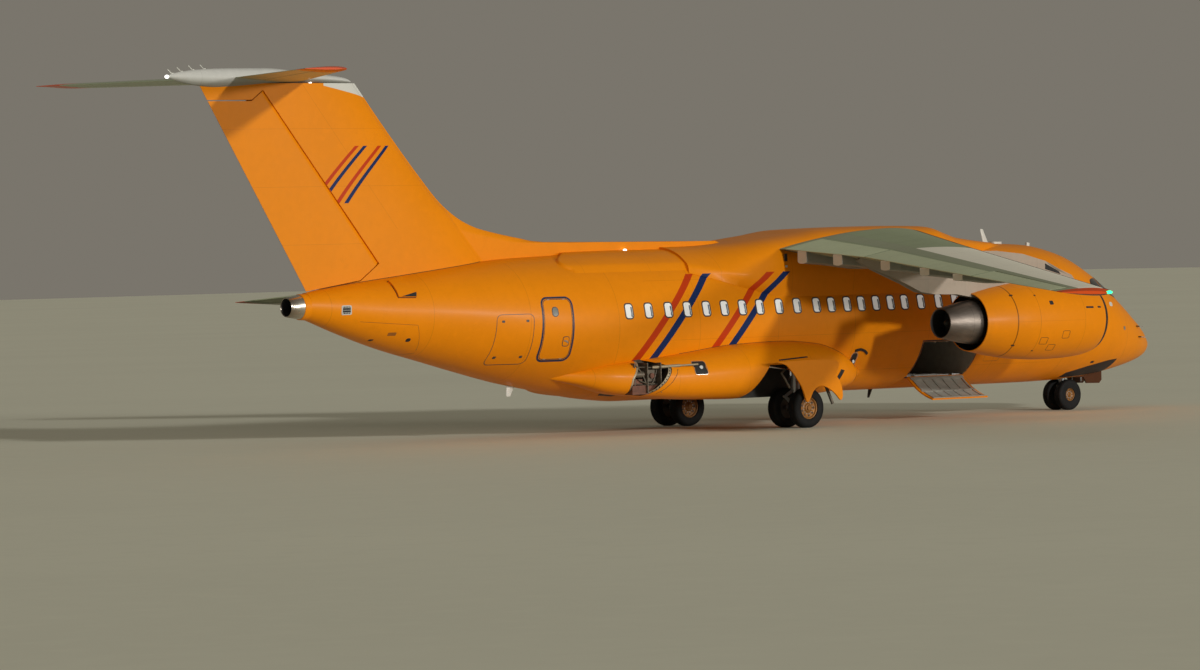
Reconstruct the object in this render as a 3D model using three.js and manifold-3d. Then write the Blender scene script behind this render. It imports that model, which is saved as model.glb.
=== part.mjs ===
// A high-wing regional jet airliner that stands on its gear, in millimetres.
// +X points forward, +Y to port and +Z up; the origin lies on the ground below the middle.
// Places along the aircraft are given as the distance aft of the nose tip.
import * as THREE from 'three';
import { mergeVertices } from 'three/addons/utils/BufferGeometryUtils.js';
import Module from 'manifold-3d';

const wasm = await Module();
wasm.setup();

// Driving dimensions of the whole aircraft
const LENGTH = 29130;
const HALF_SPAN = 14455;
const HEIGHT = 8190;
const NOSE_X = LENGTH / 2;
const FUSELAGE_RADIUS = 1675;
const FUSELAGE_Z = 2394;
const SEAT = 0.3;

// Hinge pins of the moving surfaces
const PIN_RADIUS = 20;
const PIN_DEPTH = 60;
const BORE_CLEARANCE = 0.5;
const ROD_SEGMENTS = 16;

// Places of the fuselage joints, aft of the nose tip
const NOSE_JOINT = 5200;
const CENTRE_JOINT = 10300;
const REAR_JOINT = 17000;
const FUSELAGE_END = 25650;
const EXHAUST_END = 26115;
const EXHAUST_Z = 3060;
const RING_POINTS = 32;

// Hold opening on the starboard side
const HOLD_FRONT = 7100;
const HOLD_REAR = 8900;
const HOLD_FLOOR = 1000;
const HOLD_TOP = 1820;
const HOLD_INNER_Y = 900;
const DOOR_THICKNESS = 50;
const DOOR_GAP = 14;
const DOOR_OPEN_ANGLE = 83;

// Engines
const ENGINE_Y = 4100;
const ENGINE_Z = 2290;
const FAN_AFT = 7180;
const FAN_RADIUS = 683;
const FAN_BLADES = 20;
const CORE_FRONT = 7420;

// Main gear
const MAIN_AFT = 13385;
const MAIN_Y = 2071;
const MAIN_RADIUS = 451;
const MAIN_TWIN = 348;
const MAIN_TYRE_WIDTH = 290;
const AXLE_RADIUS = 55;
const WELL_TOP = 1450;

// Nose gear
const NOSE_GEAR_AFT = 2914;
const NOSE_RADIUS = 370;
const NOSE_TWIN = 205;
const NOSE_TYRE_WIDTH = 220;
const NOSE_BAY_TOP = 1400;

const PAINT = new THREE.Color(0.80, 0.42, 0.02);
const GREY = new THREE.Color(0.62, 0.66, 0.58);
const METAL = new THREE.Color(0.30, 0.29, 0.28);
const RUBBER = new THREE.Color(0.03, 0.03, 0.03);
const STEEL = new THREE.Color(0.55, 0.56, 0.58);

const aircraft = new THREE.Group();
const aft = (distance) => NOSE_X - distance;

// Solids

// A closed body through rings of points, each ring joined to the next and both ends capped.
// Starboard faces are split the other way, so that a ring that spans the middle gives equal sides.
function loft(rings) {
  const count = rings[0].length;
  const corners = [];
  for (let r = 0; r + 1 < rings.length; r++) {
    for (let i = 0; i < count; i++) {
      const j = (i + 1) % count;
      const [a, b, c, d] = [rings[r][i], rings[r][j], rings[r + 1][j], rings[r + 1][i]];
      if (a[1] + b[1] < 0) corners.push(a, b, d, b, c, d);
      else corners.push(a, b, c, a, c, d);
    }
  }
  capEnd(rings[0], corners, false);
  capEnd(rings[rings.length - 1], corners, true);
  return bodyOf(corners);
}

// A flat end between the two halves of a ring, rung by rung.
function capEnd(ring, corners, outward) {
  const add = (a, b, c) => {
    if (outward) corners.push(ring[a], ring[b], ring[c]);
    else corners.push(ring[a], ring[c], ring[b]);
  };
  let low = 0;
  let high = ring.length - 1;
  while (high - low > 1) {
    add(low, low + 1, high);
    low += 1;
    if (high - low > 1) add(low, high - 1, high);
    high -= 1;
  }
}

// A geometry from corner points, three to a triangle, turned so that its faces point out.
function bodyOf(corners) {
  let volume = 0;
  for (let i = 0; i < corners.length; i += 3) {
    const [a, b, c] = corners.slice(i, i + 3).map((p) => new THREE.Vector3(...p));
    volume += a.dot(b.cross(c));
  }
  const order = volume < 0 ? [0, 2, 1] : [0, 1, 2];
  const positions = [];
  for (let i = 0; i < corners.length; i += 3) {
    for (const k of order) positions.push(...corners[i + k]);
  }
  const geometry = new THREE.BufferGeometry();
  geometry.setAttribute('position', new THREE.Float32BufferAttribute(positions, 3));
  return solidOf(geometry);
}

// A solid from any closed geometry, with its shared corners merged.
function solidOf(geometry) {
  const bare = geometry.clone();
  bare.deleteAttribute('normal');
  bare.deleteAttribute('uv');
  const merged = mergeVertices(bare, 1e-3);
  const index = [];
  for (let i = 0; i < merged.index.count; i += 3) {
    const [a, b, c] = [0, 1, 2].map((k) => merged.index.getX(i + k));
    if (a !== b && b !== c && c !== a) index.push(a, b, c);
  }
  const vertProperties = new Float32Array(merged.attributes.position.array);
  return new wasm.Manifold(new wasm.Mesh({ numProp: 3, vertProperties, triVerts: new Uint32Array(index) }));
}

function geometryOf(solid) {
  const mesh = solid.getMesh();
  const geometry = new THREE.BufferGeometry();
  geometry.setAttribute('position', new THREE.BufferAttribute(new Float32Array(mesh.vertProperties), 3));
  geometry.setIndex(new THREE.BufferAttribute(new Uint32Array(mesh.triVerts), 1));
  geometry.computeVertexNormals();
  return geometry;
}

// The same solid on the other side of the aircraft.
function acrossTheMiddle(solid) {
  return solid.mirror([0, 1, 0]);
}

// A solid with the seat's gap added on every side, which a neighbour is cut by.
function withMargin(solid) {
  const shifts = [[SEAT, 0, 0], [-SEAT, 0, 0], [0, SEAT, 0], [0, -SEAT, 0], [0, 0, SEAT], [0, 0, -SEAT]];
  return shifts.reduce((grown, shift) => grown.add(solid.translate(shift)), solid);
}

// The largest of a solid's separate parts.
function mainPart(solid) {
  return solid.decompose().reduce((best, part) => (part.volume() > best.volume() ? part : best));
}

// A named piece of the aircraft, its solid given in the aircraft's own frame and stored about its seat.
// Its corners are merged once more, and slivers that a cut leaves beside it are dropped.
function addPiece(name, solid, color, roughness, metalness, seat = [0, 0, 0]) {
  const material = new THREE.MeshStandardMaterial({ color, roughness, metalness });
  const settled = mainPart(solidOf(geometryOf(solid)));
  const mesh = new THREE.Mesh(geometryOf(settled.translate(seat.map((value) => -value))), material);
  mesh.name = name;
  mesh.position.set(...seat);
  aircraft.add(mesh);
}

function box(frontAft, rearAft, lowY, highY, lowZ, highZ) {
  const geometry = new THREE.BoxGeometry(rearAft - frontAft, highY - lowY, highZ - lowZ);
  geometry.translate(aft((frontAft + rearAft) / 2), (lowY + highY) / 2, (lowZ + highZ) / 2);
  return solidOf(geometry);
}

// An outline of [distance aft, height] points, as a plate between two values of Y.
function sidePlate(outline, lowY, highY) {
  const shape = new THREE.Shape(outline.map(([back, up]) => new THREE.Vector2(aft(back), up)));
  const geometry = new THREE.ExtrudeGeometry(shape, { depth: highY - lowY, bevelEnabled: false });
  geometry.rotateX(Math.PI / 2);
  geometry.translate(0, highY, 0);
  return solidOf(geometry);
}

// An outline of [distance aft, Y] points, as a block between two heights.
function planBlock(outline, lowZ, highZ) {
  const shape = new THREE.Shape(outline.map(([back, side]) => new THREE.Vector2(aft(back), side)));
  const geometry = new THREE.ExtrudeGeometry(shape, { depth: highZ - lowZ, bevelEnabled: false });
  geometry.translate(0, 0, lowZ);
  return solidOf(geometry);
}

// A turned body about an axis that runs fore and aft, from [distance aft, radius] points.
function turnedAlongX(profile, y, z, segments) {
  const points = profile.map(([back, radius]) => new THREE.Vector2(radius, back));
  const geometry = new THREE.LatheGeometry(points, segments);
  geometry.rotateZ(Math.PI / 2);
  geometry.translate(NOSE_X, y, z);
  return faceOut(geometry);
}

// A turned body about an axis that runs from side to side, from [Y, radius] points.
// It is turned by half a facet, so that it stands on a flat.
function turnedAlongY(profile, backwards, z, segments) {
  const points = profile.map(([side, radius]) => new THREE.Vector2(radius, side));
  const geometry = new THREE.LatheGeometry(points, segments);
  geometry.rotateY(Math.PI / segments);
  geometry.translate(aft(backwards), 0, z);
  return faceOut(geometry);
}

// A turned body about an upright axis, from [height, radius] points.
function turnedAlongZ(profile, backwards, y, segments) {
  const points = profile.map(([up, radius]) => new THREE.Vector2(radius, up));
  const geometry = new THREE.LatheGeometry(points, segments);
  geometry.rotateX(Math.PI / 2);
  geometry.translate(aft(backwards), y, 0);
  return faceOut(geometry);
}

// A round rod between two points.
function rodBetween(start, end, radius) {
  const [from, to] = [new THREE.Vector3(...start), new THREE.Vector3(...end)];
  const way = to.clone().sub(from).normalize();
  const geometry = new THREE.CylinderGeometry(radius, radius, from.distanceTo(to), ROD_SEGMENTS);
  geometry.applyQuaternion(new THREE.Quaternion().setFromUnitVectors(new THREE.Vector3(0, 1, 0), way));
  geometry.translate((from.x + to.x) / 2, (from.y + to.y) / 2, (from.z + to.z) / 2);
  return solidOf(geometry);
}

// Hinge pins at both ends of a moving surface, on the line between its two end points,
// and the bores for them in the surface.
function hingePins(start, end, endGap) {
  const [from, to] = [new THREE.Vector3(...start), new THREE.Vector3(...end)];
  const way = to.clone().sub(from).normalize();
  const beyond = (point, reach) => point.clone().addScaledVector(way, reach).toArray();
  const rod = (outside, inside, radius) => rodBetween(beyond(from, -outside), beyond(from, inside), radius)
    .add(rodBetween(beyond(to, outside), beyond(to, -inside), radius));
  return {
    pins: rod(endGap + 40, PIN_DEPTH, PIN_RADIUS),
    bores: rod(endGap, PIN_DEPTH + 5, PIN_RADIUS + BORE_CLEARANCE),
  };
}

// A closed geometry as a solid, with its faces turned outward where they point in.
function faceOut(geometry) {
  const corners = [];
  const flat = geometry.index ? geometry.toNonIndexed() : geometry;
  const position = flat.attributes.position;
  for (let i = 0; i < position.count; i++) {
    corners.push([position.getX(i), position.getY(i), position.getZ(i)]);
  }
  return bodyOf(corners);
}

// A value between the rows of a table, on a smooth curve that never overshoots them.
function between(rows, key, column, at) {
  const last = rows.length - 1;
  const slope = (i) => (rows[i + 1][column] - rows[i][column]) / (rows[i + 1][key] - rows[i][key]);
  const tangent = (i) => {
    if (i === 0) return slope(0);
    if (i === last) return slope(last - 1);
    const [left, right] = [slope(i - 1), slope(i)];
    return left * right <= 0 ? 0 : (2 * left * right) / (left + right);
  };
  if (at <= rows[0][key]) return rows[0][column];
  if (at >= rows[last][key]) return rows[last][column];
  const i = rows.findIndex((row, k) => k < last && at <= rows[k + 1][key]);
  const width = rows[i + 1][key] - rows[i][key];
  const t = (at - rows[i][key]) / width;
  const [start, end] = [rows[i][column], rows[i + 1][column]];
  const hermite = (2 * t ** 3 - 3 * t ** 2 + 1) * start + (3 * t ** 2 - 2 * t ** 3) * end;
  return hermite + width * ((t ** 3 - 2 * t ** 2 + t) * tangent(i) + (t ** 3 - t ** 2) * tangent(i + 1));
}

// Fuselage

// Sections of the fuselage: crown and keel heights, half width and the height of the widest line.
const FUSELAGE_TABLE = [
  { back: 0, top: 1540, bottom: 1500, half: 20, waist: 1520 },
  { back: 100, top: 1700, bottom: 1330, half: 150, waist: 1520 },
  { back: 400, top: 1965, bottom: 1180, half: 390, waist: 1565 },
  { back: 900, top: 2310, bottom: 1050, half: 720, waist: 1640 },
  { back: 1500, top: 2740, bottom: 930, half: 1005, waist: 1790 },
  { back: 2000, top: 3085, bottom: 850, half: 1210, waist: 1920 },
  { back: 2600, top: 3465, bottom: 780, half: 1380, waist: 2060 },
  { back: 3400, top: 3835, bottom: 740, half: 1530, waist: 2220 },
  { back: 4400, top: 4030, bottom: 722, half: 1640, waist: 2350 },
  { back: 5600, top: 4069, bottom: 719, half: 1675, waist: 2394 },
  { back: 17000, top: 4069, bottom: 719, half: 1675, waist: 2394 },
  { back: 18000, top: 4060, bottom: 800, half: 1665, waist: 2430 },
  { back: 19200, top: 4030, bottom: 1010, half: 1600, waist: 2520 },
  { back: 20300, top: 3990, bottom: 1220, half: 1480, waist: 2620 },
  { back: 21400, top: 3900, bottom: 1490, half: 1300, waist: 2720 },
  { back: 22500, top: 3790, bottom: 1780, half: 1090, waist: 2810 },
  { back: 23600, top: 3660, bottom: 2070, half: 850, waist: 2880 },
  { back: 24700, top: 3520, bottom: 2430, half: 600, waist: 2970 },
  { back: 25650, top: 3360, bottom: 2780, half: 290, waist: 3060 },
].map((row) => ({ ...row, root: Math.sqrt(row.back) }));

const FUSELAGE_STATIONS = [
  0, 40, 150, 350, 650, 1000, 1450, 1900, 2400, 3000, 3900, NOSE_JOINT, 5600,
  CENTRE_JOINT, REAR_JOINT, 18000, 19200, 20400, 21600, 22800, 24000, 25000, FUSELAGE_END,
];

function fuselageRing(back, grow) {
  const root = Math.sqrt(back);
  const [top, bottom, half, waist] = ['top', 'bottom', 'half', 'waist']
    .map((column) => between(FUSELAGE_TABLE, 'root', column, root));
  const ring = [];
  for (let i = 0; i < RING_POINTS; i++) {
    const angle = (2 * Math.PI * i) / RING_POINTS;
    const height = Math.sin(angle) > 0 ? top - waist : waist - bottom;
    ring.push([aft(back), (half + grow) * Math.cos(angle), waist + (height + grow) * Math.sin(angle)]);
  }
  return ring;
}

function fuselageBody(from, to, grow = 0) {
  const inside = FUSELAGE_STATIONS.filter((back) => back > from + 1 && back < to - 1);
  return loft([from, ...inside, to].map((back) => fuselageRing(back, grow)));
}

// The fuselage with a thin margin, which its neighbours are cut by.
const fuselageMargin = fuselageBody(1000, FUSELAGE_END, SEAT);

const holdSpace = box(HOLD_FRONT, HOLD_REAR, -2000, HOLD_INNER_Y, HOLD_FLOOR, HOLD_TOP);
const noseBay = box(1800, 3200, -300, 300, 300, NOSE_BAY_TOP);

const noseSection = fuselageBody(0, NOSE_JOINT - SEAT).subtract(noseBay);
const forwardFuselage = fuselageBody(NOSE_JOINT, CENTRE_JOINT - SEAT).subtract(holdSpace);
addPiece('nose_section', noseSection, PAINT, 0.3, 0);
addPiece('forward_fuselage', forwardFuselage, PAINT, 0.3, 0);
addPiece('centre_fuselage', fuselageBody(CENTRE_JOINT, REAR_JOINT - SEAT), PAINT, 0.3, 0);
addPiece('rear_fuselage', fuselageBody(REAR_JOINT, FUSELAGE_END), PAINT, 0.3, 0);

const EXHAUST_PROFILE = [
  [FUSELAGE_END + SEAT, 0], [FUSELAGE_END + SEAT, 285], [EXHAUST_END, 200],
  [EXHAUST_END, 170], [FUSELAGE_END + 60, 170], [FUSELAGE_END + 60, 0],
];
addPiece('tail_exhaust', turnedAlongX(EXHAUST_PROFILE, 0, EXHAUST_Z, 20), METAL, 0.3, 0.9);

// The hold door is a piece of the fuselage wall, swung down about its lower edge.
const DOOR_HINGE_Y = -Math.sqrt(FUSELAGE_RADIUS ** 2 - (FUSELAGE_Z - HOLD_FLOOR) ** 2);
const doorWall = fuselageBody(HOLD_FRONT + DOOR_GAP, HOLD_REAR - DOOR_GAP)
  .subtract(fuselageBody(HOLD_FRONT, HOLD_REAR, -DOOR_THICKNESS))
  .intersect(box(HOLD_FRONT, HOLD_REAR, -2000, 0, HOLD_FLOOR + DOOR_GAP, HOLD_TOP - DOOR_GAP));
const doorKnuckles = [HOLD_FRONT + 300, HOLD_REAR - 300].map((back) => {
  return box(back - 60, back + 60, DOOR_HINGE_Y - 12, DOOR_HINGE_Y + 30, HOLD_FLOOR + SEAT, HOLD_FLOOR + 40);
});
const doorClosed = doorKnuckles.reduce((door, knuckle) => door.add(knuckle), doorWall);
const doorOpen = doorClosed
  .translate([0, -DOOR_HINGE_Y, -HOLD_FLOOR])
  .rotate([DOOR_OPEN_ANGLE, 0, 0])
  .translate([0, DOOR_HINGE_Y, HOLD_FLOOR]);
addPiece('hold_door', doorOpen, PAINT, 0.35, 0, [aft(8000), DOOR_HINGE_Y, HOLD_FLOOR]);

// Wing sections

const CHORD_FRACTIONS = [0, 0.015, 0.07, 0.18, 0.35, 0.55, 0.76, 1];
const EDGE_HALF = 5;

// Half thickness of a wing section, 1 where it is thickest.
function sectionShape(f) {
  const shape = 0.2969 * Math.sqrt(f) - 0.126 * f - 0.3516 * f ** 2 + 0.2843 * f ** 3 - 0.1036 * f ** 4;
  return Math.max(0, shape) / 0.1;
}

function wingHeights(row, f) {
  const line = row.frontZ + (row.rearZ - row.frontZ) * f;
  const shape = sectionShape(f);
  return [line + row.up * shape + EDGE_HALF * f, line - row.down * shape - EDGE_HALF * f];
}

function wingRing(row) {
  const point = (f, height) => [aft(row.front + (row.rear - row.front) * f), row.y, height];
  const upper = CHORD_FRACTIONS.slice(1).map((f) => point(f, wingHeights(row, f)[0]));
  const lower = CHORD_FRACTIONS.slice(1).map((f) => point(f, wingHeights(row, f)[1])).reverse();
  return [point(0, row.frontZ), ...upper, ...lower];
}

function rowAt(table, y) {
  const i = Math.max(1, table.findIndex((row) => row.y >= y));
  const [inner, outer] = [table[i - 1], table[i]];
  const t = (y - inner.y) / (outer.y - inner.y);
  const row = {};
  for (const key of Object.keys(inner)) row[key] = inner[key] + (outer[key] - inner[key]) * t;
  return row;
}

// A moving surface at the rear of a wing: its round nose lies about the hinge line.
// It gives the surface and the rest of the wing.
function splitSurface(wing, table, from, to, fraction, endGap, noseGap) {
  const ends = [from, to].map((y) => {
    const row = rowAt(table, y);
    const [upper, lower] = wingHeights(row, fraction);
    const back = row.front + (row.rear - row.front) * fraction;
    return { y, back, z: (upper + lower) / 2, radius: (upper - lower) / 2, rear: row.rear + 400 };
  });
  const [a, b] = ends;
  const outline = (shift, side) => [
    [a.back - shift * a.radius - (shift ? noseGap : 0), a.y - side],
    [b.back - shift * b.radius - (shift ? noseGap : 0), b.y + side],
    [b.rear, b.y + side], [a.rear, a.y - side],
  ];
  const circle = (end) => Array.from({ length: 16 }, (_, i) => {
    const angle = (2 * Math.PI * i) / 16;
    const radius = end.radius * 0.985;
    return [aft(end.back) + radius * Math.cos(angle), end.y, end.z + radius * Math.sin(angle)];
  });
  const { pins, bores } = hingePins([aft(a.back), a.y, a.z], [aft(b.back), b.y, b.z], endGap);
  const surface = wing
    .intersect(planBlock(outline(0, 0), 1000, 9500))
    .add(loft([circle(a), circle(b)]))
    .subtract(bores);
  const rest = wing.subtract(planBlock(outline(1, endGap), 1000, 9500)).add(pins);
  return { surface, rest };
}

// Wing

// Wing rows: Y, leading and trailing edge aft of the nose, their heights, and the thickness
// above and below the line between them.
const leadingEdge = (y) => 7670 + 0.54 * y;
const WING_INNER_Y = 1100;
const WING_ROOT_Y = 1650;
const KINK_Y = 4520;
const WING_TABLE = [
  { y: WING_INNER_Y, front: leadingEdge(WING_INNER_Y), rear: 13235, frontZ: 4080, rearZ: 4060, up: 390, down: 440 },
  { y: WING_ROOT_Y, front: leadingEdge(WING_ROOT_Y), rear: 13260, frontZ: 4080, rearZ: 4060, up: 410, down: 430 },
  { y: KINK_Y, front: leadingEdge(KINK_Y), rear: 13390, frontZ: 3860, rearZ: 3840, up: 270, down: 300 },
  { y: 14150, front: leadingEdge(14150), rear: 16908, frontZ: 3020, rearZ: 3075, up: 95, down: 80 },
  { y: HALF_SPAN, front: 15700, rear: 17020, frontZ: 3010, rearZ: 3050, up: 35, down: 30 },
];

const portWing = loft(WING_TABLE.map(wingRing));
const AILERON_FROM = 10150;
const AILERON_TO = 13900;
const FLAP_STARTS = [1720, 4560];
const FLAP_ENDS = [4480, 10050];
const FLAP_FRACTION = 0.76;
const FLAP_GAP = 0.6;

// Track fairings under the flaps: their Y, and how deep their blunt rear end hangs below the wing's edge.
const TRACK_FAIRINGS = [
  { y: 2300, deep: 290 }, { y: 3560, deep: 250 }, { y: 5620, deep: 215 }, { y: 7700, deep: 175 },
  { y: 9400, deep: 150 },
];
const TRACK_HALF_WIDTH = 120;
const fairedWing = TRACK_FAIRINGS.reduce((whole, { y, deep }) => {
  const row = rowAt(WING_TABLE, y);
  const at = (f) => row.front + (row.rear - row.front) * f;
  const under = (f) => wingHeights(row, f)[1];
  const outline = [
    [at(0.34), under(0.34) + 60], [at(0.44), under(0.44) - 0.3 * deep], [at(0.62), under(0.62) - 0.55 * deep],
    [at(0.86), under(1) - 1.15 * deep], [at(1), under(1) - deep], [at(1), under(1) + 4],
    [at(0.7), under(0.7) + 40],
  ];
  return whole.add(sidePlate(outline, y - TRACK_HALF_WIDTH, y + TRACK_HALF_WIDTH));
}, portWing);

const aileronSplit = splitSurface(fairedWing, WING_TABLE, AILERON_FROM, AILERON_TO, 0.72, 30, 22);
let wingRest = aileronSplit.rest;

// The flaps are stowed, so they are plain pieces of the wing's rear edge.
const portFlaps = FLAP_STARTS.map((start, i) => {
  const [inner, outer] = [rowAt(WING_TABLE, start), rowAt(WING_TABLE, FLAP_ENDS[i])];
  const hinge = (row) => row.front + (row.rear - row.front) * FLAP_FRACTION;
  const outline = (grow) => [
    [hinge(inner) - grow, inner.y - grow], [hinge(outer) - grow, outer.y + grow],
    [outer.rear + 300, outer.y + grow], [inner.rear + 300, inner.y - grow],
  ];
  wingRest = wingRest.subtract(planBlock(outline(FLAP_GAP), 1000, 6000));
  return fairedWing.intersect(planBlock(outline(0), 1000, 6000));
});

// Fairing over the fuselage crown, rows: aft of the nose, top, half width and side height.
const CROWN_TABLE = [
  { back: 5300, top: 4080, half: 420, side: 3900 },
  { back: 6200, top: 4160, half: 760, side: 3600 },
  { back: 7100, top: 4265, half: 1120, side: 3400 },
  { back: 7700, top: 4400, half: 1430, side: 3200 },
  { back: 8300, top: 4525, half: WING_ROOT_Y - SEAT, side: 3000 },
  { back: 9500, top: 4545, half: WING_ROOT_Y - SEAT, side: 2900 },
  { back: 11500, top: 4525, half: WING_ROOT_Y - SEAT, side: 2900 },
  { back: 13300, top: 4390, half: WING_ROOT_Y - SEAT, side: 3000 },
  { back: 14700, top: 4290, half: 1500, side: 3250 },
  { back: 15500, top: 4180, half: 1150, side: 3500 },
  { back: 16000, top: 4060, half: 700, side: 3800 },
];

// A flat-topped section with rounded shoulders.
const SHOULDER = 0.4;
function crownRing(row) {
  const ring = [];
  const steps = 12;
  for (let i = 0; i <= steps; i++) {
    const turn = (Math.PI * i) / steps;
    const across = Math.sign(Math.cos(turn)) * Math.abs(Math.cos(turn)) ** SHOULDER;
    const rise = Math.sin(turn) ** SHOULDER;
    ring.push([aft(row.back), row.half * across, row.side + (row.top - row.side) * rise]);
  }
  ring.push([aft(row.back), -row.half * 0.9, row.side - 60]);
  ring.push([aft(row.back), row.half * 0.9, row.side - 60]);
  return ring;
}

// Rounded rear lobe of the fairing, low on the fuselage's shoulders, in the same columns.
const LOBE_TABLE = [
  { back: 14900, top: 4100, half: 1180, side: 3620 },
  { back: 17500, top: 4105, half: 1180, side: 3620 },
  { back: 18400, top: 4095, half: 1130, side: 3660 },
  { back: 18850, top: 4060, half: 900, side: 3760 },
  { back: 19050, top: 4000, half: 500, side: 3880 },
];

function lobeRing(row) {
  const steps = 16;
  const ring = [];
  for (let i = 0; i <= steps; i++) {
    const turn = (Math.PI * i) / steps;
    ring.push([aft(row.back), row.half * Math.cos(turn), row.side + (row.top - row.side) * Math.sin(turn)]);
  }
  ring.push([aft(row.back), -row.half * 0.8, row.side - 120]);
  ring.push([aft(row.back), row.half * 0.8, row.side - 120]);
  return ring;
}

const crownBlock = loft(CROWN_TABLE.map(crownRing)).add(loft(LOBE_TABLE.map(lobeRing)));
const crownMargin = withMargin(crownBlock);
const crownFairing = crownBlock.subtract(fuselageMargin);
addPiece('wing_fairing', crownFairing, PAINT, 0.35, 0);
wingRest = mainPart(wingRest.subtract(crownMargin));

// Engines

// Cowl outline: [aft, radius] along the outside from the lip, then back along the duct.
const COWL_OUTSIDE = [
  [6100, 705], [6120, 750], [6220, 795], [6520, 860], [7100, 905], [7700, 915],
  [8500, 878], [9200, 792], [9870, 668],
];
const COWL_INSIDE = [
  [9870, 648], [9200, 705], [8300, 722], [7000, 700], [6450, 662], [6180, 668],
];

function cowlSolid(y, outGrow, inGrow) {
  const outside = COWL_OUTSIDE.map(([back, radius]) => [back, radius + outGrow]);
  const inside = COWL_INSIDE.map(([back, radius]) => [back, radius - inGrow]);
  return turnedAlongX([...outside, ...inside, outside[0]], y, ENGINE_Z, 32);
}

// The core as one plain block, with its nozzle, exhaust cone and fan shaft.
const CORE_PROFILE = [
  [FAN_AFT - 40, 0], [FAN_AFT - 40, 78], [CORE_FRONT, 78], [CORE_FRONT, 330], [7800, 450],
  [9300, 530], [9870, 500], [10725, 345], [10725, 318], [10260, 372], [10260, 170], [10600, 40], [10600, 0],
];
const VANES = 8;

function coreSolid(y) {
  let core = turnedAlongX(CORE_PROFILE, y, ENGINE_Z, 32);
  for (let i = 0; i < VANES; i++) {
    const vane = box(8150, 8500, -14, 14, 460, 735)
      .rotate([(360 * (i + 0.5)) / VANES, 0, 0])
      .translate([0, y, ENGINE_Z]);
    core = core.add(vane);
  }
  return core.subtract(cowlSolid(y, SEAT, SEAT));
}

// The fan: a spinner and hub with a blind bore for the shaft, and twisted blades.
const SPINNER_PROFILE = [
  [6760, 0], [6860, 110], [7020, 190], [7330, 245], [7330, 78.8], [7130, 78.8], [7130, 0],
];

function fanSolid(y) {
  let fan = turnedAlongX(SPINNER_PROFILE, y, ENGINE_Z, 32);
  for (let i = 0; i < FAN_BLADES; i++) {
    const ring = (radius, pitch) => [[-1, -1], [1, -1], [1, 1], [-1, 1]].map(([along, thick]) => {
      const [chord, half] = [95, 5];
      const [c, s] = [Math.cos(pitch), Math.sin(pitch)];
      const x = along * chord * c - thick * half * s;
      const side = along * chord * s + thick * half * c;
      return [aft(FAN_AFT + 35) + x, side, radius];
    });
    const blade = loft([ring(180, 0.35), ring(FAN_RADIUS - 4, 0.95)])
      .rotate([(360 * i) / FAN_BLADES, 0, 0])
      .translate([0, y, ENGINE_Z]);
    fan = fan.add(blade);
  }
  return fan;
}

// Pylon side outline, [aft, height], from the lip of the cowl back along the wing.
const PYLON_OUTLINE = [
  [6540, 2900], [6540, 3250], [7010, 3460], [7360, 3590], [8020, 3745], [8740, 3820], [9900, 3880],
  [10400, 3960], [12600, 3950], [13200, 3900], [13260, 3800], [12800, 3600], [12300, 3440], [11700, 3250], [11000, 3030], [10300, 2965],
  [9900, 2900], [9300, 2800],
];
const PYLON_HALF_WIDTH = 170;

const portPylon = sidePlate(PYLON_OUTLINE, ENGINE_Y - PYLON_HALF_WIDTH, ENGINE_Y + PYLON_HALF_WIDTH)
  .subtract(cowlSolid(ENGINE_Y, SEAT, 200))
  .subtract(withMargin(fairedWing.add(wingRest)));

const SIDES = [
  { tag: 'L', place: (solid) => solid, y: 1 },
  { tag: 'R', place: acrossTheMiddle, y: -1 },
];

for (const side of SIDES) {
  const name = (base) => `${base}_${side.tag}`;
  const engineSeat = [aft(FAN_AFT), side.y * ENGINE_Y, ENGINE_Z];
  addPiece(name('wing'), side.place(wingRest), GREY, 0.45, 0);
  addPiece(name('inner_flap'), side.place(portFlaps[0]), GREY, 0.45, 0);
  addPiece(name('outer_flap'), side.place(portFlaps[1]), GREY, 0.45, 0);
  addPiece(name('aileron'), side.place(aileronSplit.surface), GREY, 0.45, 0);
  addPiece(name('pylon'), side.place(mainPart(portPylon)), GREY, 0.45, 0);
  addPiece(name('cowl'), side.place(cowlSolid(ENGINE_Y, 0, 0)), PAINT, 0.3, 0, engineSeat);
  addPiece(name('engine_core'), side.place(coreSolid(ENGINE_Y)), METAL, 0.4, 0.8, engineSeat);
  addPiece(name('fan'), side.place(fanSolid(ENGINE_Y)), STEEL, 0.35, 0.8, engineSeat);
}

// Tail

// Fin rows: height, leading edge and trailing edge aft of the nose.
const FIN_TOP = 7880;
const FIN_THICKNESS = 0.052;
const finTrailing = (z) => 25620 + ((z - 3430) * (28270 - 25620)) / (7820 - 3430);
const finLeading = (z) => 24240 - (7980 - z) * 0.868;
const FIN_ROWS = [
  { z: 3300, front: 15600 }, { z: 4120, front: 15300 }, { z: 4285, front: 15600 }, { z: 4310, front: 17800 },
  { z: 4350, front: 19060 }, { z: 4450, front: 19700 }, { z: 4560, front: 20300 }, { z: 4700, front: 20900 },
  { z: 4900, front: 21370 }, { z: 5250, front: 21870 }, { z: 5810, front: 22410 }, { z: 6980, front: 23420 },
  { z: FIN_TOP, front: finLeading(FIN_TOP) },
];
const FIN_FRACTIONS = [0, 0.03, 0.12, 0.26, 0.42, 0.6, 0.8, 1];
const SPINE_HALF = 95;

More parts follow.
